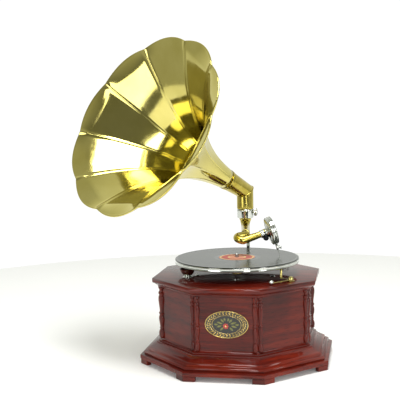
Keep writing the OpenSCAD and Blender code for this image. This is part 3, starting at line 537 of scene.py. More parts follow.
finish["gripWood"] = varnishedMahogany(
    "turnedGripWood", dict(mahoganyLook, ribbon=4, ribbonRun=60, pore=0.8, poreRun=9))
finish["floor"] = frostedAcrylic("frostedAcrylic", ("#EFEFED", "#F7F7F5"), 0.6, 3, 0.01)
print("materials made,", len(finish))

floorZ = -0.2  # just under the feet
floorDisc = lathe("floor", [(r, floorZ) for r in (0, 600, 1300)], "floor", sides=96)


def layGrain(piece, boardOf):
    # stores, for each face corner, where it lies on its own board: along the grain, across, and depth
    mesh = piece.data
    place = mesh.attributes.new("boardPlace", "FLOAT_VECTOR", "CORNER")
    for face in mesh.polygons:
        along, across, shift = boardOf(face)
        depth = Vector(along).cross(Vector(across))
        for loop in face.loop_indices:
            p = mesh.vertices[mesh.loops[loop].vertex_index].co
            place.data[loop].vector = (p.dot(along) + shift, p.dot(across), p.dot(depth) + shift * 0.37)
    return piece


def sideBoard(face):
    # boards of the eight sides run level round the cabinet
    side = round(degrees(atan2(face.center.y, face.center.x)) / 45)
    angle = radians(45 * side)
    return Vector((-sin(angle), cos(angle), 0)), Vector((0, 0, 1)), 0.31 * side


def flatBoard(face):
    if face.normal.z > 0.9 and face.area > 0.004:
        return Vector((1, 0, 0)), Vector((0, 1, 0)), 0.0
    return sideBoard(face)


def octagonPoint(apothem, corner, z):
    r = apothem / cos(halfCorner)
    angle = radians(45 * corner + 22.5)
    return (r * cos(angle), r * sin(angle), z)


def octagonMoulding(name, profile, material, closed=True, board=sideBoard, sharpAngle=38):
    # profile of (apothem, height) carried round the eight mitred sides
    points = [octagonPoint(a, k, z) for a, z in profile for k in range(8)]
    count = len(profile)
    faces = []
    for i in range(count if closed else count - 1):
        n = (i + 1) % count
        for k in range(8):
            m = (k + 1) % 8
            faces.append((i * 8 + k, i * 8 + m, n * 8 + m, n * 8 + k))
    if not closed:
        faces.append(tuple(range(8)))
        faces.append(tuple((count - 1) * 8 + k for k in range(8)))
    return layGrain(makePiece(name, points, faces, material, None, sharpAngle), board)


cabinet = {
    "wall": 147, "wallThick": 10, "base": 187, "foot": 10, "baseTop": 18.5,
    "deckUnder": 162, "columnGrowth": 1.12, "columnInset": 5.7,
    "moulding": [(147, 18.5), (179, 18.5), (179.3, 20), (180, 21.5), (180, 23.3), (179.2, 24.9), (177.6, 26),
                 (175.4, 26.6), (173.4, 27.1), (172.3, 28.2), (172, 30), (171.4, 31.2), (169.6, 32.4),
                 (166.6, 33.6), (163.6, 35.2), (160.8, 36.6), (158, 38.4), (156.2, 40), (155, 41), (155, 43),
                 (154.2, 43.4), (152, 43.5), (151, 44), (151, 46), (150, 46.6), (148.6, 47.5), (147.8, 48.8),
                 (147.6, 50), (147, 50)],
    "frieze": [(147, 154), (150, 154), (150.7, 154.8), (151, 156), (151.2, 157.5), (152.2, 158),
               (153.5, 158.5), (154.8, 159.3), (156, 160.5), (156.7, 161.3), (157, 162), (147, 162)],
    "deckEdge": [(158, 162), (159.6, 162.3), (160.7, 163.1), (161.3, 164.2), (161.5, 165.4), (161.5, 170.6),
                 (161.3, 171.3), (160.8, 171.8), (160.1, 172)],
}



def slabProfile(reach, low, high, edge=1.2):
    # softened edges above and below
    return [(reach - edge, low), (reach - 0.3, low + 0.4), (reach, low + edge), (reach, high - edge),
            (reach - 0.3, high - 0.4), (reach - edge, high)]


baseBoard = octagonMoulding("baseBoard", slabProfile(cabinet["base"], cabinet["foot"], cabinet["baseTop"]),
                            "mahogany", closed=False, board=flatBoard)
show(baseBoard, "cabinet", "mahogany", "base_board")


def bracketFeet():
    # eight corner feet, each bent round its corner
    length, thick = 23.5, 10
    outer = cabinet["base"] - 1
    feet = []
    for k in range(8):
        corner = Vector(octagonPoint(outer, k, 0))
        inner = Vector(octagonPoint(outer - thick, k, 0))
        outline = []
        for turn in (45 * k, 45 * (k + 1)):
            along = Vector((-sin(radians(turn)), cos(radians(turn)), 0))
            way = along if turn == 45 * k else -along
            outerEnd = corner - way * length
            innerEnd = outerEnd - thick * Vector((cos(radians(turn)), sin(radians(turn)), 0))
            outline.append((outerEnd, innerEnd))
        shape = [outline[0][0], corner, outline[1][0], outline[1][1], inner, outline[0][1]]
        foot = prism("foot", [(p.x, p.y) for p in shape], 0, cabinet["foot"], "mahogany")
        feet.append(easeEdges(foot, 0.9, 3))
    # a turned pad under the middle of the board
    feet.append(lathe("middlePad", [(0, 0), (15.2, 0), (15.8, 0.3), (16, 0.9), (16, cabinet["foot"]),
                                    (0, cabinet["foot"])], "mahogany"))
    return layGrain(joinPieces("bracketFeet", feet), sideBoard)


show(bracketFeet(), "cabinet", "mahogany", "bracket_feet")

plinth = octagonMoulding("plinthMoulding", cabinet["moulding"], "mahogany", sharpAngle=44)
show(plinth, "cabinet", "mahogany", "base_moulding")


def wallBoard(name, direction):
    inner = cabinet["wall"] - cabinet["wallThick"]
    half, small = (a * tan(halfCorner) - 0.06 for a in (cabinet["wall"], inner))
    board = prism(name, [(inner, -small), (cabinet["wall"], -half), (cabinet["wall"], half), (inner, small)],
                  cabinet["baseTop"], cabinet["deckUnder"], "mahogany", facing(direction))
    return easeEdges(board, 0.5)


show(layGrain(applyModifiers(wallBoard("frontBoard", -90)), sideBoard), "cabinet", "mahogany", "front_panel")
sideBoards = joinPieces("sideBoards", [wallBoard("side", d) for d in (-135, -45, 0, 45, 90, 180)])
show(layGrain(sideBoards, sideBoard), "cabinet", "mahogany", "side_panels")
nodes["crank_panel"].data.materials.clear()
nodes["crank_panel"].data.materials.append(finish["mahoganyPanel"])

balusterProfile = [
    (0, 0), (4.0, 0), (4.25, 0.6), (4.4, 2), (4.7, 4), (4.8, 6), (4.8, 8.5), (4.55, 11), (3.9, 13.4),
    (3.3, 15), (2.7, 16.4), (2.6, 17), (3.2, 17.6), (3.5, 18.5), (3.3, 19.5), (2.75, 20.4), (2.65, 21.4),
    (2.8, 24), (3.2, 27), (3.8, 30), (4.2, 33), (4.45, 36.5), (4.4, 39), (4.1, 41.6), (3.5, 44),
    (2.9, 45.8), (2.9, 46.3), (3.6, 46.8), (4.1, 47.8), (4.3, 49), (4.1, 50.2), (3.6, 51.2), (2.9, 51.7),
    (2.8, 52.6), (2.95, 56), (3.3, 61), (3.9, 66), (4.4, 70.5), (4.75, 75), (4.7, 79), (4.35, 82.5),
    (3.7, 84.8), (3.1, 85.9), (3.1, 86.5), (3.8, 87), (4.3, 88.2), (4.5, 90), (4.3, 91.6), (3.8, 92.8),
    (2.95, 93.4), (2.8, 94.4), (2.9, 97.4), (3.2, 98.4), (4.0, 99.1), (4.5, 100.2), (4.6, 101.6),
    (4.4, 103), (4.1, 104), (0, 104)]


def cornerBalusters():
    # turned columns, two to a corner, split so that their flat backs lie on the walls
    turned = []
    half = cabinet["wall"] * tan(halfCorner)
    for k in range(8):
        for side in (-1, 1):
            points, faces, steps = [], [], 22
            for r, z in balusterProfile:
                width = max(cabinet["columnGrowth"] * r, 0.01)
                for j in range(steps + 1):
                    angle = pi * (j / steps - 0.5)
                    points.append((width * cos(angle), width * sin(angle), z))
            for i in range(len(balusterProfile) - 1):
                for j in range(steps):
                    a = i * (steps + 1) + j
                    faces.append((a, a + 1, a + steps + 2, a + steps + 1))
                faces.append((i * (steps + 1), (i + 1) * (steps + 1), (i + 1) * (steps + 1) + steps,
                              i * (steps + 1) + steps))
            across = side * (half - cabinet["columnInset"])
            where = facing(45 * k) @ at(cabinet["wall"], across, 50)
            turned.append(makePiece("column", points, faces, "mahogany", where, 50))
    column = joinPieces("cornerBalusters", turned)

    def upright(face):
        corner = degrees(atan2(face.center.y, face.center.x))
        angle = radians(45 * round(corner / 45))
        return Vector((0, 0, 1)), Vector((cos(angle), sin(angle), 0)), 0.01 * corner
    return layGrain(column, upright)


show(cornerBalusters(), "cabinet", "mahogany", "corner_balusters")
show(octagonMoulding("friezeMoulding", cabinet["frieze"], "mahogany", sharpAngle=44),
     "cabinet", "mahogany", "frieze")
show(octagonMoulding("topBoard", cabinet["deckEdge"], "mahogany", closed=False, board=flatBoard,
                     sharpAngle=44), "cabinet", "mahogany", "top_board")
print("cabinet made")

badge = {
    "centre": (1.2, -147.0, 101.2), "half": (42, 26.5), "plate": 1.0,
    "rim": 0.8, "ring": (0.73, 0.90), "leaves": 34, "rosette": (-1.5, -3.0),
}


def ovalRing(name, scale, half, thick, height, material, place, inset=0.0):
    # round wire laid on the plate along an oval
    path = []
    for i in range(96):
        a = 2 * pi * i / 96
        path.append(((half[0] * scale - inset) * cos(a), (half[1] * scale - inset) * sin(a), height))
    ring = sweep(name, path, thick, material, sides=12, closed=True)
    ring.data.transform(Matrix.Translation(place.translation * mm) @ place.to_3x3().to_4x4())
    return ring


def leafShape(name, length, width, height, material, place):
    # small stamped leaf with a raised spine
    points, faces = [], []
    steps = 7
    for i in range(steps + 1):
        t = i / steps
        w = width / 2 * sin(pi * t) ** 0.8
        x = length * (t - 0.5)
        points += [(x, -w, 0), (x, 0, height * (0.25 + sin(pi * t) ** 0.6)), (x, w, 0)]
    for i in range(steps):
        a = i * 3
        faces += [(a, a + 3, a + 4, a + 1), (a + 1, a + 4, a + 5, a + 2), (a, a + 2, a + 5, a + 3)]
    return makePiece(name, points, faces, material, place, 55)


def makeBadge(look):
    half = look["half"]
    face = Matrix.Translation(Vector(look["centre"])) @ rotated(90, "X")
    lift = look["plate"]
    count = 72
    outline = [(half[0] * 0.985 * cos(a), half[1] * 0.985 * sin(a))
               for a in (2 * pi * i / count for i in range(count))]
    parts = [prism("badgeGround", outline, 0, lift, "blackEnamel", face)]
    parts.append(ovalRing("badgeRim", 1.0, half, look["rim"], 0.8, "gildedBrass", face, 1.2))
    parts.append(ovalRing("badgeLine", 0.66, half, 0.4, lift, "gildedBrass", face))
    inner, outer = look["ring"]
    # a wreath of small leaves fills the band between the rims
    for i in range(look["leaves"]):
        a = 2 * pi * (i + 0.5) / look["leaves"]
        middle = (inner + outer) / 2
        slope = atan2(half[1] * cos(a), -half[0] * sin(a))
        for side in (-1, 1):
            r = middle + side * 0.045
            where = (face @ at(half[0] * r * cos(a), half[1] * r * sin(a), lift)
                     @ Matrix.Rotation(slope + side * 0.62, 4, "Z"))
            parts.append(leafShape("wreathLeaf", 4.6, 1.9, 0.45, "gildedBrass", where))
    # olive sprays to each side of the middle
    for side in (-1, 1):
        for length, turn, x, y in ((12, 18, 13, 3.2), (11, -16, 14, -3.4), (9, 48, 8, 7.4), (9, -44, 9, -8.2),
                                   (8, 4, 20, 0.2), (7, 74, 3.4, 9.6)):
            angle = radians(turn if side > 0 else 180 - turn)
            where = face @ at(side * x, y, lift) @ Matrix.Rotation(angle, 4, "Z")
            parts.append(leafShape("sprayLeaf", length, 3.9, 0.6, "greenEnamel", where))
            parts.append(leafShape("leafRib", length * 0.9, 0.8, 0.95, "gildedBrass", where))
    rx, ry = look["rosette"]
    for i in range(7):
        a = 2 * pi * i / 7
        where = (face @ at(rx + 3.1 * cos(a), ry + 3.1 * sin(a), lift + 0.2)
                 @ Matrix.Rotation(a, 4, "Z"))
        parts.append(leafShape("rosettePetal", 5.4, 4.2, 0.7, "redEnamel", where))
    parts.append(lathe("rosetteEye", [(1.9, 0), (1.8, 0.6), (1.1, 1.0), (0, 1.15)], "gildedBrass",
                       face @ at(rx, ry, lift + 0.2), 20))
    for side in (-1, 1):
        parts.append(lathe("badgePin", [(1.1, 0), (1.0, 0.5), (0.5, 0.85), (0, 0.95)], "gildedBrass",
                           face @ at(side * 31.2, 0, lift - 0.2), 20))
    return joinPieces("badge", parts)


show(makeBadge(badge), "cabinet", "badge", "badge_plate")


def knurl(count, depth, low, high):
    # radius change that makes coarse straight knurling between two heights
    def shape(r, z, angle):
        return r - depth * (0.5 + 0.5 * cos(count * angle)) if low <= z <= high else r
    return shape


# the needle cup is one flared bowl on a waisted foot
needleCup = lathe("needleCup", [
    (0, 172), (9.6, 172), (10, 172.2), (10.3, 172.8), (10.2, 173.4), (9.4, 174), (8.2, 174.4), (7.3, 175),
    (7.0, 175.8), (7.4, 176.8), (8.6, 177.8), (10.2, 179.2), (12.0, 181.4), (13.4, 184.4), (14.2, 187),
    (14.9, 188.9), (15.5, 189.5), (15.6, 189.9), (15.2, 190), (14.6, 189.4), (13.8, 187.2), (12.9, 184.8),
    (11.6, 182.2), (10.2, 180.4), (8.0, 179), (4, 178.2), (0, 178)],
    "chromePlate", at(-91, -56, 0), 56)
show(needleCup, "cabinet", "chrome", "needle_cup")

turntable = {"rim": 125.5, "top": 202.2, "record": recordR, "recordTop": 205}


def platterDish(look):
    top, r = look["top"], look["rim"]
    profile = [
        (5, top - 17), (10.6, top - 17), (11.2, top - 16.6), (12, top - 15), (12, top - 5.4), (12.6, top - 4),
        (16, top - 2.2), (18, top - 2), (r - 4, top - 2), (r - 2.6, top - 2.6), (r - 2, top - 3.8),
        (r - 2, top - 6.2), (r - 1.1, top - 6.6), (r - 0.3, top - 6.2), (r, top - 5.4), (r - 0.35, top - 4.8),
        (r - 0.5, top - 4.2), (r - 0.5, top - 1.2), (r - 0.3, top - 0.5), (r, top), (r - 0.1, top + 0.6),
        (r - 0.6, top + 0.9), (r - 1.2, top + 0.8), (r - 2.2, top), (5, top)]
    dish = lathe("platterPressing", profile, "chromePlate", None, 160, closed=True, sharpAngle=50)
    # the underside is left black: partly a bare dark finish, partly painted shade, a black sheet that keeps
    # the recess under the platter dark
    under = lathe("platterUndersideShade", [
        (14.5, top - 2.35), (r - 4.6, top - 2.35), (r - 4.4, top - 2.2), (r - 4.6, top - 1.9),
        (14.5, top - 1.9)],
        "blackedSteel", None, 120, closed=True)
    return joinPieces("platterDish", [dish, under])


show(platterDish(turntable), "turntable", "chrome", "platter")


def recordDisc(look):
    # rim bead, lead-in, grooved band, run-out and a sunk seat for the label
    top, r = look["recordTop"], look["record"]
    profile = [(3.63, top - 1.8), (r - 1.2, top - 1.8), (r - 0.3, top - 1.5), (r, top - 1.0),
               (r - 0.1, top - 0.4), (r - 0.7, top - 0.05), (r - 2.2, top), (r - 4.2, top - 0.05),
               (r - 5.2, top - 0.18)]
    steps = 34
    for i in range(steps + 1):
        s = i / steps
        profile.append((r - 5.6 - (r - 5.6 - 47) * s, top - 0.2 - (0.05 if i % 2 else 0.0)))
    profile += [(46, top - 0.24), (41, top - 0.22), (38.4, top - 0.2), (37.6, top - 0.02), (36.6, top),
                (3.63, top)]
    return lathe("recordDisc", profile, "shellac", None, 144, closed=True)


show(recordDisc(turntable), "turntable", "shellac", "record")
label = lathe("recordLabel", [
    (4, 205), (36.2, 205), (labelR, 205.03), (labelR, 205.08), (36.2, 205.1), (34, 205.1), (20, 205.1),
    (4, 205.1)],
    "label", None, 96, closed=True)
show(label, "turntable", "label_paper", "record_labels")
print("turntable made")

bracket = {"postY": 163, "wall": 147}


def box(name, low, high, material, place=None):
    return prism(name, [(low[0], low[1]), (high[0], low[1]), (high[0], high[1]), (low[0], high[1])],
                 low[2], high[2], material, place)


def rearBracket(look):
    wall, y = look["wall"], look["postY"]
    plate = easeEdges(box("bracketPlate", (-16, wall, 92), (16, wall + 4, 146), "chromePlate"), 1.4, 3)
    stay = easeEdges(box("bracketStay", (-3.5, wall + 3.8, 100), (3.5, y + 8, 116), "chromePlate"), 0.8)
    post = easeEdges(box("bracketPost", (-3.5, y, 100), (3.5, y + 8, 287), "chromePlate"), 0.9, 3)
    parts = [plate, stay, post]
    for x in (-10, 10):
        for z in (100, 138):
            where = at(x, wall + 4, z) @ rotated(-90, "X")
            parts.append(lathe("bracketScrew", [(3.6, -1), (3.6, 0.2), (3.3, 1), (2.2, 1.7), (0, 2)],
                               "chromePlate", where, 24))
    return joinPieces("rearBracket", parts)


show(rearBracket(bracket), "cabinet", "chrome", "rear_bracket")

pivot = Vector((-2, 142, 0))


def makeCollar():
    ring = lathe("collarRing", [
        (11.05, 268), (16.8, 268), (17.3, 268.3), (17.5, 269), (17.5, 282.4), (17.7, 282.8), (18.2, 283.2),
        (18.3, 284), (18.3, 285.2), (18.1, 285.8), (17.6, 286.1), (17.5, 286.6), (17.2, 287), (15.05, 287),
        (15.05, 274), (11.05, 274)], "chromePlate", Matrix.Translation(pivot), 96, closed=True)
    arm = easeEdges(box("collarArm", (-5, 157.6, 270), (5, 163.4, 285), "chromePlate"), 0.9, 3)
    neck = easeEdges(box("collarNeck", (-4.6, 163, 271), (4.6, 171.6, 284), "chromePlate"), 0.9, 3)
    return joinPieces("collar", [ring, arm, neck])


show(makeCollar(), "cabinet", "chrome", "collar")
collarScrew = lathe("collarScrew", [
    (2.5, 15.6), (2.5, 19.5), (7.2, 19.5), (7.8, 19.8), (8, 20.4), (8, 21.2), (8, 24.4), (8, 25), (7.6, 25.7),
    (6.8, 26), (4.4, 25.8), (4.2, 25.3), (0, 25.3)], "chromePlate",
    Matrix.Translation(pivot + Vector((0, 0, 280))) @ rotated(90, "Y"), 96,
    shape=knurl(24, 0.7, 20.8, 24.8))
show(collarScrew, "cabinet", "chrome", "collar_screw")

# crank, on the rear left face
crankAxis = facing(135) @ at(0, 0, 134) @ rotated(90, "Y")


def crankHandle():
    hub, reach = 190, 82
    boss = lathe("crankBoss", [
        (5, hub), (8.4, hub), (9, hub + 0.6), (9, hub + 8.4), (8.4, hub + 9), (5, hub + 9)],
        "groundSteel", crankAxis, 48, closed=True)
    bar = sweep("crankBar", [crankAxis @ Vector(p) for p in spline(
        [(4, 0, hub + 4.6), (22, 0, hub + 4.6), (52, 0, hub + 4.5), (reach + 3.5, 0, hub + 4.5)], 8)],
        [6.0 - i / 24 for i in range(25)], "groundSteel", 28, flat=0.999)
    pin = lathe("crankPin", [(0, hub + 2), (3.5, hub + 2), (3.5, hub + 73), (5.7, hub + 73), (6, hub + 73.4),
                             (5.6, hub + 74.6), (4.4, hub + 75.4), (0, hub + 75.5)],
                "groundSteel", crankAxis @ at(reach, 0, 0), 40)
    return joinPieces("crankHandle", [boss, bar, pin])


gripStart = 197.3
crankGrip = lathe("crankGrip", [
    (3.6, 0), (6.9, 0), (7.4, 0.3), (7.9, 1.2), (8.5, 2.6), (8.3, 4), (7.3, 5.6), (7, 6.4), (7.05, 9),
    (7.4, 14), (8.3, 21), (9.4, 28), (10.3, 35), (10.8, 42), (10.8, 47), (10.5, 52), (9.8, 57), (8.6, 61.2),
    (7.2, 64), (6.4, 65), (5.8, 65.2), (3.6, 65.2)], "gripWood",
    crankAxis @ at(82, 0, gripStart), 64, closed=True)
show(crankHandle(), "crank", "steel", "crank_handle")


def gripBoard(face):
    # one turned stick, so every face has the same board
    axis = Vector((-sin(radians(45)), cos(radians(45)), 0))
    return axis, Vector((0, 0, 1)), 0.9


show(layGrain(crankGrip, gripBoard), "grip", "grip_wood", "crank_grip")

# speed knob and brake on the deck
speedKnob = lathe("speedKnob", [
    (3, 172.3), (8.4, 172.3), (8.9, 172.6), (9, 173.2), (9, 178.6), (8.8, 179.1), (8.2, 179.4), (7.4, 179.6),
    (7, 180.3), (6, 180.8), (0, 181)], "chromePlate", at(88, 92, 0), 108,
    shape=knurl(27, 0.6, 173, 178.8))
show(speedKnob, "speed_control", "chrome", "speed_knob")

brake = {"pivot": (116, -79), "turn": 229.5, "ball": 51, "ballR": 4.4}


def brakeParts(look):
    where = at(look["pivot"][0], look["pivot"][1], 0) @ facing(look["turn"])
    z = 174.8
    hub = lathe("brakeHub", [(2.6, z), (4.8, z), (5.2, z + 0.4), (5.2, z + 4.4), (4.7, z + 5.2),
                             (2.6, z + 5.2)],
                "stripBrass", where, 48, closed=True)
    strip = easeEdges(prism("brakeStrip", [(3.4, -2.2), (20, -2.2), (34, -1.9), (look["ball"] - 3, -1.5),
                                           (look["ball"] - 3, 1.5), (34, 1.9), (20, 2.2), (3.4, 2.2)],
                            z, z + 1.6, "stripBrass", where), 0.35, 2)
    r = look["ballR"]
    meridian = [(r * sin(a), -r * cos(a)) for a in (radians(12 * i) for i in range(1, 15))]
    ball = lathe("brakeBall", [(0, -r)] + meridian + [(0, r)],
                 "chromePlate", where @ at(look["ball"], 0, 177.2), 40)
    inner = where @ facing(-84)
    leg = easeEdges(prism("brakeLeg", [(3.4, -3), (22, -3), (24.6, -2.4), (26, 0), (24.6, 2.4), (22, 3),
                                       (3.4, 3)],
                          z, z + 1.6, "stripBrass", inner), 0.35, 2)
    post = lathe("brakePost", [(0, z), (2.4, z), (2.4, z + 19.4), (2.1, z + 19.8), (0, z + 20)], "stripBrass",
                 inner @ at(24, 0, 0), 32)
    return joinPieces("brakeLever", [hub, strip, ball, leg, post])


def brakeLug(look):
    where = at(look["pivot"][0], look["pivot"][1], 172) @ facing(look["turn"])
    base = easeEdges(box("lugBase", (-6, -5, 0), (6, 5, 2.5), "stripBrass", where), 0.5)
    pin = lathe("lugPin", [(0, 0), (2.5, 0), (2.5, 8.4), (3.6, 8.4), (4, 8.8), (3.9, 9.5), (3.2, 10),
                           (1.2, 10.2), (0, 10.2)], "stripBrass", where, 40)
    return joinPieces("brakeLug", [base, pin])


show(brakeParts(brake), "brake", "lever_brass", "brake_lever")
show(brakeLug(brake), "cabinet", "lever_brass", "brake_bracket")
print("deck fittings made")

arm = {
    "joint": (12, 45, 246), "turn": -81.8, "slope": -2,
    "soundboxTurn": 20, "soundboxSlope": 17, "reach": 53, "tip": (83.5, 35, 205.25),
    "soundboxR": 29, "bend": (8.4, 18.3), "bendR": 10, "bendZ": (244, 237.3),
}


def direction(turn, slope):
    a, e = radians(turn), radians(slope)
    return Vector((cos(e) * cos(a), cos(e) * sin(a), sin(e)))


jointAxis = direction(arm["turn"], arm["slope"])
jointPlace = Vector(arm["joint"])
soundboxOut = direction(arm["soundboxTurn"], arm["soundboxSlope"])
soundboxDown = direction(arm["soundboxTurn"], arm["soundboxSlope"] - 90)
soundboxPlace = Vector(arm["tip"]) - arm["reach"] * soundboxDown - 2 * soundboxOut
armTip = soundboxPlace - 13 * soundboxOut
soundboxFrame = alongLine(soundboxPlace, arm["soundboxTurn"], arm["soundboxSlope"])
jointFrame = alongLine(jointPlace, arm["turn"], arm["slope"])


def toneArm():
    # taper drops from the collar, sweeps forward and ends in the joint's ring
    path = spline([(-2, 142, 264.8), (-2, 140, 257), (0, 126, 248.5), (5, 95, 247),
                   jointPlace - 8 * jointAxis], 12)
    radii = []
    for i in range(len(path)):
        s = i / (len(path) - 1)
        radii.append(13.4 - 4.6 * sin(pi * s) if s < 0.5 else 8.8 + 0.2 * (2 * s - 1))
    tube = sweep("armTube", path, radii, "tubeBrass", 40)
    flange = lathe("armFlange", [(8, 265.7), (12.6, 265.7), (13, 266), (13, 267.4), (12.6, 267.7),
                                 (11, 267.7), (11, 275.5), (8, 275.5)], "tubeBrass",
                                 Matrix.Translation(pivot), 72,
                   closed=True)
    bearing = lathe("armBearing", [(11, 274.3), (14.5, 274.3), (14.5, 276.3), (11, 276.3)], "tubeBrass",
                    Matrix.Translation(pivot), 72, closed=True)
    socket = lathe("armSocket", [(6.05, 0), (8.6, 0), (9.1, -0.4), (9.2, -1.2), (8.9, -2), (8.7, -2.6),
                                 (8.9, -3.2), (9.2, -4), (9.2, -10.4), (8.9, -11.4), (8.0, -12), (6.05, -12)],
                   "tubeBrass", jointFrame, 56, closed=True)
    return joinPieces("toneArm", [tube, flange, bearing, socket])


def gooseneck(look):
    (x, y), (high, low) = look["bend"], look["bendZ"]
    bend = []
    for k in range(25):
        a = radians(145 + 145 * k / 24)
        bend.append(Vector((x + look["bendR"] * cos(a), y + look["bendR"] * sin(a),
                            high + (low - high) * k / 24)))
    lead = spline([jointPlace + 6 * jointAxis, jointPlace + 11 * jointAxis, bend[0]], 6)[:-1]
    straight = [bend[-1] + (armTip - bend[-1]) * k for k in (0.12, 0.25, 0.4, 0.5, 0.6, 0.7, 0.85, 1)]
    path = [jointPlace + jointAxis, jointPlace + 3.5 * jointAxis] + lead + bend + straight
    radii = [7.9] * (2 + len(lead) + len(bend)) + [7.8, 7.5, 7.2, 7, 6.7, 6.4, 6.4, 6.4]
    tube = sweep("neckTube", path, radii, "tubeBrass", 40)
    ring = lathe("neckRing", [(0, 0.3), (8.5, 0.3), (9, 0.7), (9, 2.6), (8.6, 3.2), (7.6, 3.5), (0, 3.5)],
                 "tubeBrass", jointFrame, 56)
    journal = lathe("neckJournal", [(0, -9), (5.7, -9), (6, -8.6), (6, 1), (0, 1)], "tubeBrass",
                    jointFrame, 48)
    return joinPieces("gooseneck", [tube, ring, journal])


show(toneArm(), "arm", "arm_brass", "tonearm")
show(gooseneck(arm), "head", "arm_brass", "gooseneck")


def soundboxClamp():
    sleeve = lathe("clampSleeve", [
        (6.5, -24), (8.1, -24), (8.5, -23.6), (8.5, -22.4), (8.2, -22), (8.2, -14.4), (8.5, -14),
        (8.5, -12.4), (8.1, -12), (6.5, -12)], "chromePlate", soundboxFrame, 56, closed=True)
    ear = easeEdges(box("clampEar", (6.4, -4.5, -20), (13, 4.5, -12.4), "chromePlate", soundboxFrame), 0.6)
    screwFrame = soundboxFrame @ at(9, -4.5, -16) @ rotated(90, "X")
    screw = lathe("clampScrew", [(0, -2), (2, -2), (2, 0), (5.2, 0), (5.6, 0.4), (5.6, 0.8), (5.6, 4.2),
                                 (5.6, 4.6), (5.2, 5), (3.2, 5), (3, 4.6), (0, 4.6)], "blackedSteel",
                 screwFrame, 96, shape=knurl(24, 0.5, 0.6, 4.4))
    return joinPieces("soundboxClamp", [sleeve, ear, screw])


def soundboxCase(look):
    r = look["soundboxR"]
    return lathe("soundboxShell", [
        (4.5, -12), (7.9, -12), (8.5, -11.6), (9.2, -10.4), (10, -9.2), (11.6, -8), (14, -7.1), (16, -6.8),
        (16.4, -6.3), (25.2, -6), (26.4, -5.9), (27.6, -5.5), (28.4, -5.0), (28.9, -4.2), (28.6, -3.4),
        (28.3, -3.0), (28.3, -0.9), (28.9, -0.5), (r, 0), (r, 2.4), (28.8, 3.1), (28.3, 3.5), (28.3, 4),
        (25.5, 4), (25.5, -2), (4.5, -2)], "chromePlate", soundboxFrame, 112, closed=True, sharpAngle=48)


def soundboxRing(look):
    r = look["soundboxR"]
    ring = lathe("ringBand", [
        (23.6, 4.1), (28.6, 4.1), (r, 4.5), (r, 5.3), (28.6, 5.9), (27.8, 6.3), (26.8, 6.35), (26.2, 5.95),
        (25.6, 5.95), (25, 6.3), (24.2, 6.3), (23.7, 5.9)], "chromePlate", soundboxFrame, 112, closed=True,
        sharpAngle=48)
    parts = [ring]
    for k in range(4):
        where = soundboxFrame @ facing(45 + 90 * k) @ at(26.0, 0, 5.9)
        parts.append(lathe("ringScrew", [(1.5, -0.4), (1.5, 0.3), (1.2, 0.5), (0, 0.5)], "groundSteel",
                           where, 20))
    return joinPieces("soundboxRing", parts)


show(soundboxClamp(), "head", "clamp_metal", "soundbox_clamp")
show(soundboxCase(arm), "head", "chrome", "soundbox_case")
show(soundboxRing(arm), "head", "chrome", "soundbox_ring")


def stylusBar():
    post = lathe("stylusPost", [(0, -0.6), (2.6, -0.6), (2.6, -0.2), (1.6, 0.2), (1.6, 2.6), (0, 2.6)],
                 "groundSteel", soundboxFrame, 32)
    bar = easeEdges(prism("stylusLever", [(-1.4, -1.4), (8, -1.2), (23.6, -1.6), (25, -2.8), (30, -3),
                                          (30, 3), (25, 2.8), (23.6, 1.6), (8, 1.2), (-1.4, 1.4)],
                          1, 2.8, "chromePlate", soundboxFrame), 0.3, 2)
    block = easeEdges(box("stylusPivot", (24, -3, 0), (30.4, 3, 4), "chromePlate", soundboxFrame), 0.4)
    holder = lathe("needleHolder", [(0.8, 29), (2.6, 29), (3, 29.5), (3, 31), (2.7, 31.4), (2.7, 34),
                                    (3, 34.4), (3, 40.6), (2.6, 41.6), (1.8, 42), (0.8, 42)], "chromePlate",
                   soundboxFrame @ at(0, 0, 2) @ rotated(90, "Y"), 40,
                   closed=True)
    return joinPieces("stylusBar", [post, bar, block, holder])


show(stylusBar(), "head", "steel", "stylus_bar")
needleFrame = soundboxFrame @ at(32, 0, 2) @ rotated(90, "Y")
steelNeedle = lathe("steelNeedle", [
    (0, 0), (0.6, 0), (0.75, 0.3), (0.75, 15), (0.7, 16.4), (0.5, 18.4), (0.25, 20.2), (0.12, 21), (0, 21)],
    "chromePlate", needleFrame, 24)
show(steelNeedle, "head", "chrome", "needle")
needleScrew = lathe("needleScrew", [
    (0, 3), (1.5, 3), (1.5, 6.4), (3.8, 6.5), (4.2, 6.8), (4.2, 7.1), (4.2, 9), (4.2, 9.2), (3.8, 9.5),
    (2.4, 9.5), (2.2, 9.2), (0, 9.2)], "chromePlate", soundboxFrame @ at(38, 0, 0), 80,
    shape=knurl(20, 0.45, 6.9, 9.1))
show(needleScrew, "needle_thumbscrew", "chrome", "needle_screw")
print("tone arm and soundbox made")

horn = {
    "elbow": (-2, 142, 325.5), "turn": -124, "slope": 27.5, "length": 333, "mouthR": 186, "throatR": 19,
    "flare": 2.81, "throat": 68, "lip": 321, "petals": 10, "seamTurn": 23.3,
    "wall": 1.3, "ribWidth": 2.1, "ribHeight": 0.36, "bead": 1.9,
}
hornFrame = alongLine(horn["elbow"], horn["turn"], horn["slope"])
lipShare = 0.86  # share of the bell's length before the lip


def flareR(t):
    return horn["throatR"] + (horn["mouthR"] - horn["throatR"]) * (t / horn["length"]) ** horn["flare"]


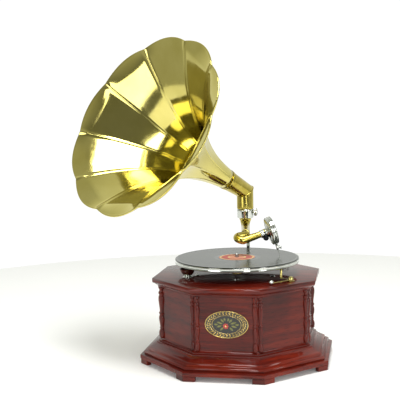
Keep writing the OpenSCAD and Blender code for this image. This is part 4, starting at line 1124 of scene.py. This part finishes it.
def bellProfile():
    # rows of (share from throat to rim, distance along the axis, radius, side), side 1 inside, -1 outside
    rows = []
    lipStart = flareR(horn["lip"])
    for i in range(41):
        s = lipShare * (i / 40) ** 0.8
        t = horn["throat"] + (horn["lip"] - horn["throat"]) * s / lipShare
        rows.append((s, t, flareR(t)))
    lip = []
    rimR = horn["mouthR"] - 1.4
    for i in range(1, 9):
        k = i / 8
        # the lip leaves the petal at a shallow crease and then rolls outward
        t = horn["lip"] + 11.2 * (k - 0.18 * k * k) / 0.82 * 0.98
        lip.append((lipShare + (1 - lipShare) * k, t, lipStart + (rimR - lipStart) * (0.9 * k + 0.1 * k * k)))
    return rows + lip


def petalSwell(s, angle):
    # each petal is nearly flat between its seams, and the lip swells out into a scallop
    share = min(s, lipShare)
    half = pi / horn["petals"]
    flat = 0.75 * min(max((share - 0.08) / 0.4, 0), 1)
    face = (1 - 0.024 * share ** 1.6) * (1 - flat * (1 - cos(half) / cos(angle % (2 * half) - half)))
    rim = 0.986 + 0.042 * abs(sin(horn["petals"] * angle / 2))
    return face if s <= lipShare else face + (rim - face) * (s - lipShare) / (1 - lipShare)


def hornBell():
    rows = bellProfile()
    count = len(rows)
    inner, outer = [], []
    for i, (s, t, r) in enumerate(rows):
        a, b = rows[max(i - 1, 0)], rows[min(i + 1, count - 1)]
        dt, dr = b[1] - a[1], b[2] - a[2]
        size = hypot(dt, dr)
        inner.append((s, t, r, -dr / size, dt / size, 1))
        outer.append((s, t - horn["wall"] * dr / size, r + horn["wall"] * dt / size, -dr / size, dt / size,
                      -1))
    rim = inner[-1]
    beadR = horn["bead"]
    centreT, centreR = rim[1] - beadR * 0.75, rim[2] + beadR * 0.15
    start = atan2(rim[1] - centreT, rim[2] - centreR)
    bead = []
    for i in range(1, 10):
        a = start - radians(26) * i
        bead.append((1.0, centreT + beadR * sin(a), centreR + beadR * cos(a), 0, 0, 0))
    section = inner + bead + outer[::-1]
    marks = [(-1, 0), (-0.72, 0.85), (-0.4, 1), (0, 0.5), (0.4, 1), (0.72, 0.85), (1, 0)]
    between = 14
    points, faces = [], []
    for s, t, r, nt, nr, side in section:
        half = min(horn["ribWidth"] * (0.55 + 0.45 * s) / r, pi / horn["petals"] * 0.3)
        fade = min(max((s - 0.03) / 0.1, 0), 1) * (1 if side else 0.4)
        for p in range(horn["petals"]):
            seam = 2 * pi * p / horn["petals"]
            columns = [(u * half, h) for u, h in marks]
            free = 2 * pi / horn["petals"] - 2 * half
            columns += [(half + free * (j + 1) / between, 0) for j in range(between - 1)]
            for turn, height in columns:
                angle = seam + turn
                raised = horn["ribHeight"] * height * fade
                radius = r * petalSwell(s, angle) - side * raised * nr
                depth = t - side * raised * nt
                points.append((radius * cos(angle), radius * sin(angle), depth))
    width = horn["petals"] * (len(marks) + between - 1)
    total = len(section)
    for i in range(total):
        n = (i + 1) % total
        for j in range(width):
            k = (j + 1) % width
            faces.append((i * width + j, n * width + j, n * width + k, i * width + k))
    return makePiece("hornBell", points, faces, "spunBrass", hornFrame @ facing(horn["seamTurn"]), 120)


def sheetPlace(piece, axisFrame):
    # where each point lies on the sheet: along the axis, round it, and distance out
    back = axisFrame.inverted()
    spots = piece.data.attributes.new("sheetPlace", "FLOAT_VECTOR", "POINT")
    for i, v in enumerate(piece.data.vertices):
        p = back @ (v.co / mm)
        spots.data[i].vector = (p.x * mm, p.y * mm, p.z * mm * 0.55)
    return piece


show(sheetPlace(hornBell(), hornFrame), "horn", "horn_brass", "horn_bell")


def hornElbow():
    # vertical leg and sloping neck of one sheet brass tube, mitred and soldered
    centre = Vector(horn["elbow"])
    tilt = radians((90 - horn["slope"]) / 2)
    lean = Vector((cos(radians(horn["turn"])), sin(radians(horn["turn"])), 0))
    normal = (lean * sin(tilt) + Vector((0, 0, 1)) * cos(tilt)).normalized()
    sides = 72
    rings = []
    for z, r in ((287.3, 16.2), (287.4, 16.8), (287.9, 17.4), (288.9, 17.85), (290.2, 18)):
        rings.append([Vector((centre.x + r * cos(a), centre.y + r * sin(a), z))
                      for a in (2 * pi * j / sides for j in range(sides))])
    seam = []
    for j in range(sides):
        a = 2 * pi * j / sides
        p = Vector((centre.x + 18 * cos(a), centre.y + 18 * sin(a), 0))
        z = centre.z - ((p.x - centre.x) * normal.x + (p.y - centre.y) * normal.y) / normal.z
        seam.append(Vector((p.x, p.y, z)))
    for share in (0.35, 0.7):
        rings.append([rings[4][j].lerp(seam[j], share) for j in range(sides)])
    rings.append(seam)
    back = hornFrame.inverted()
    angles = [atan2((back @ p).y, (back @ p).x) for p in seam]
    ends = (horn["throat"] - 1.5, 21.35)

    def onHorn(t, r):
        return [hornFrame @ Vector((r * cos(a), r * sin(a), t)) for a in angles]

    def inLeg(share, z):
        return [Vector((centre.x + (p.x - centre.x) * share, centre.y + (p.y - centre.y) * share, z))
                for p in seam]

    mouthRing = onHorn(*ends)
    for share in (0.15, 0.35, 0.6, 0.82, 1.0):
        rings.append([seam[j].lerp(mouthRing[j], share) for j in range(sides)])
    for t, r in ((horn["throat"], 21.2), (horn["throat"], 19.6), (horn["throat"] - 6, 19.4)):
        rings.append(onHorn(t, r))
    rings.append([centre + (p - centre) * 0.9 for p in seam])
    rings += [inLeg(share, z) for share, z in ((0.86, 290), (0.8333, 277), (0.8333, 287.2))]
    points = [p for ring in rings for p in ring]
    faces = []
    for i in range(len(rings)):
        n = (i + 1) % len(rings)
        for j in range(sides):
            k = (j + 1) % sides
            faces.append((i * sides + j, n * sides + j, n * sides + k, i * sides + k))
    tube = makePiece("elbowTube", points, faces, "tubeBrass", None, 24)
    solder = sweep("solderSeam", [centre + (p - centre) * 1.012 for p in seam], 0.75, "tubeBrass", 10,
                   closed=True)
    ferrule = lathe("neckFerrule", [(21.2, 60.5), (22.0, 60.8), (22.3, 61.6), (22.0, 62.4), (21.9, 65.2),
                                    (22.2, 66), (22.6, 66.8), (22.4, 67.8), (21.2, 68)], "tubeBrass",
                                    hornFrame, 72,
                    closed=True)
    return joinPieces("hornElbow", [tube, solder, ferrule])


show(hornElbow(), "horn", "horn_brass", "horn_elbow")
print("horn made")

# the works inside the cabinet and the small fittings keep their drawn shapes
kept = {
    "screws": "chromePlate", "escutcheon": "stripBrass", "motor_plate": "groundSteel",
    "motor_pillars": "groundSteel", "lower_plate": "groundSteel", "pillar_nuts": "groundSteel",
    "click_spring": "temperedSteel", "spindle_bush": "gearBrass", "crank_shaft": "groundSteel",
    "crank_pinion": "gearBrass", "winding_arbor": "groundSteel", "arbor_gear": "gearBrass",
    "ratchet_wheel": "groundSteel", "click_pawl": "groundSteel", "spring_barrel": "gearBrass",
    "barrel_cover": "gearBrass", "mainspring": "temperedSteel", "spindle": "groundSteel",
    "worm_wheel": "gearBrass",
    "platter_mat": "matFelt", "governor_shaft": "groundSteel", "governor_weights": "gearBrass",
    "governor_springs": "temperedSteel", "friction_disc": "gearBrass", "speed_lever": "groundSteel",
    "brake_pad": "padFelt", "gaskets": "rubber", "diaphragm": "mica",
}
for node, material in kept.items():
    slots = nodes[node].data.materials
    slots.clear()
    slots.append(finish[material])
print("kept nodes finished,", len(kept))
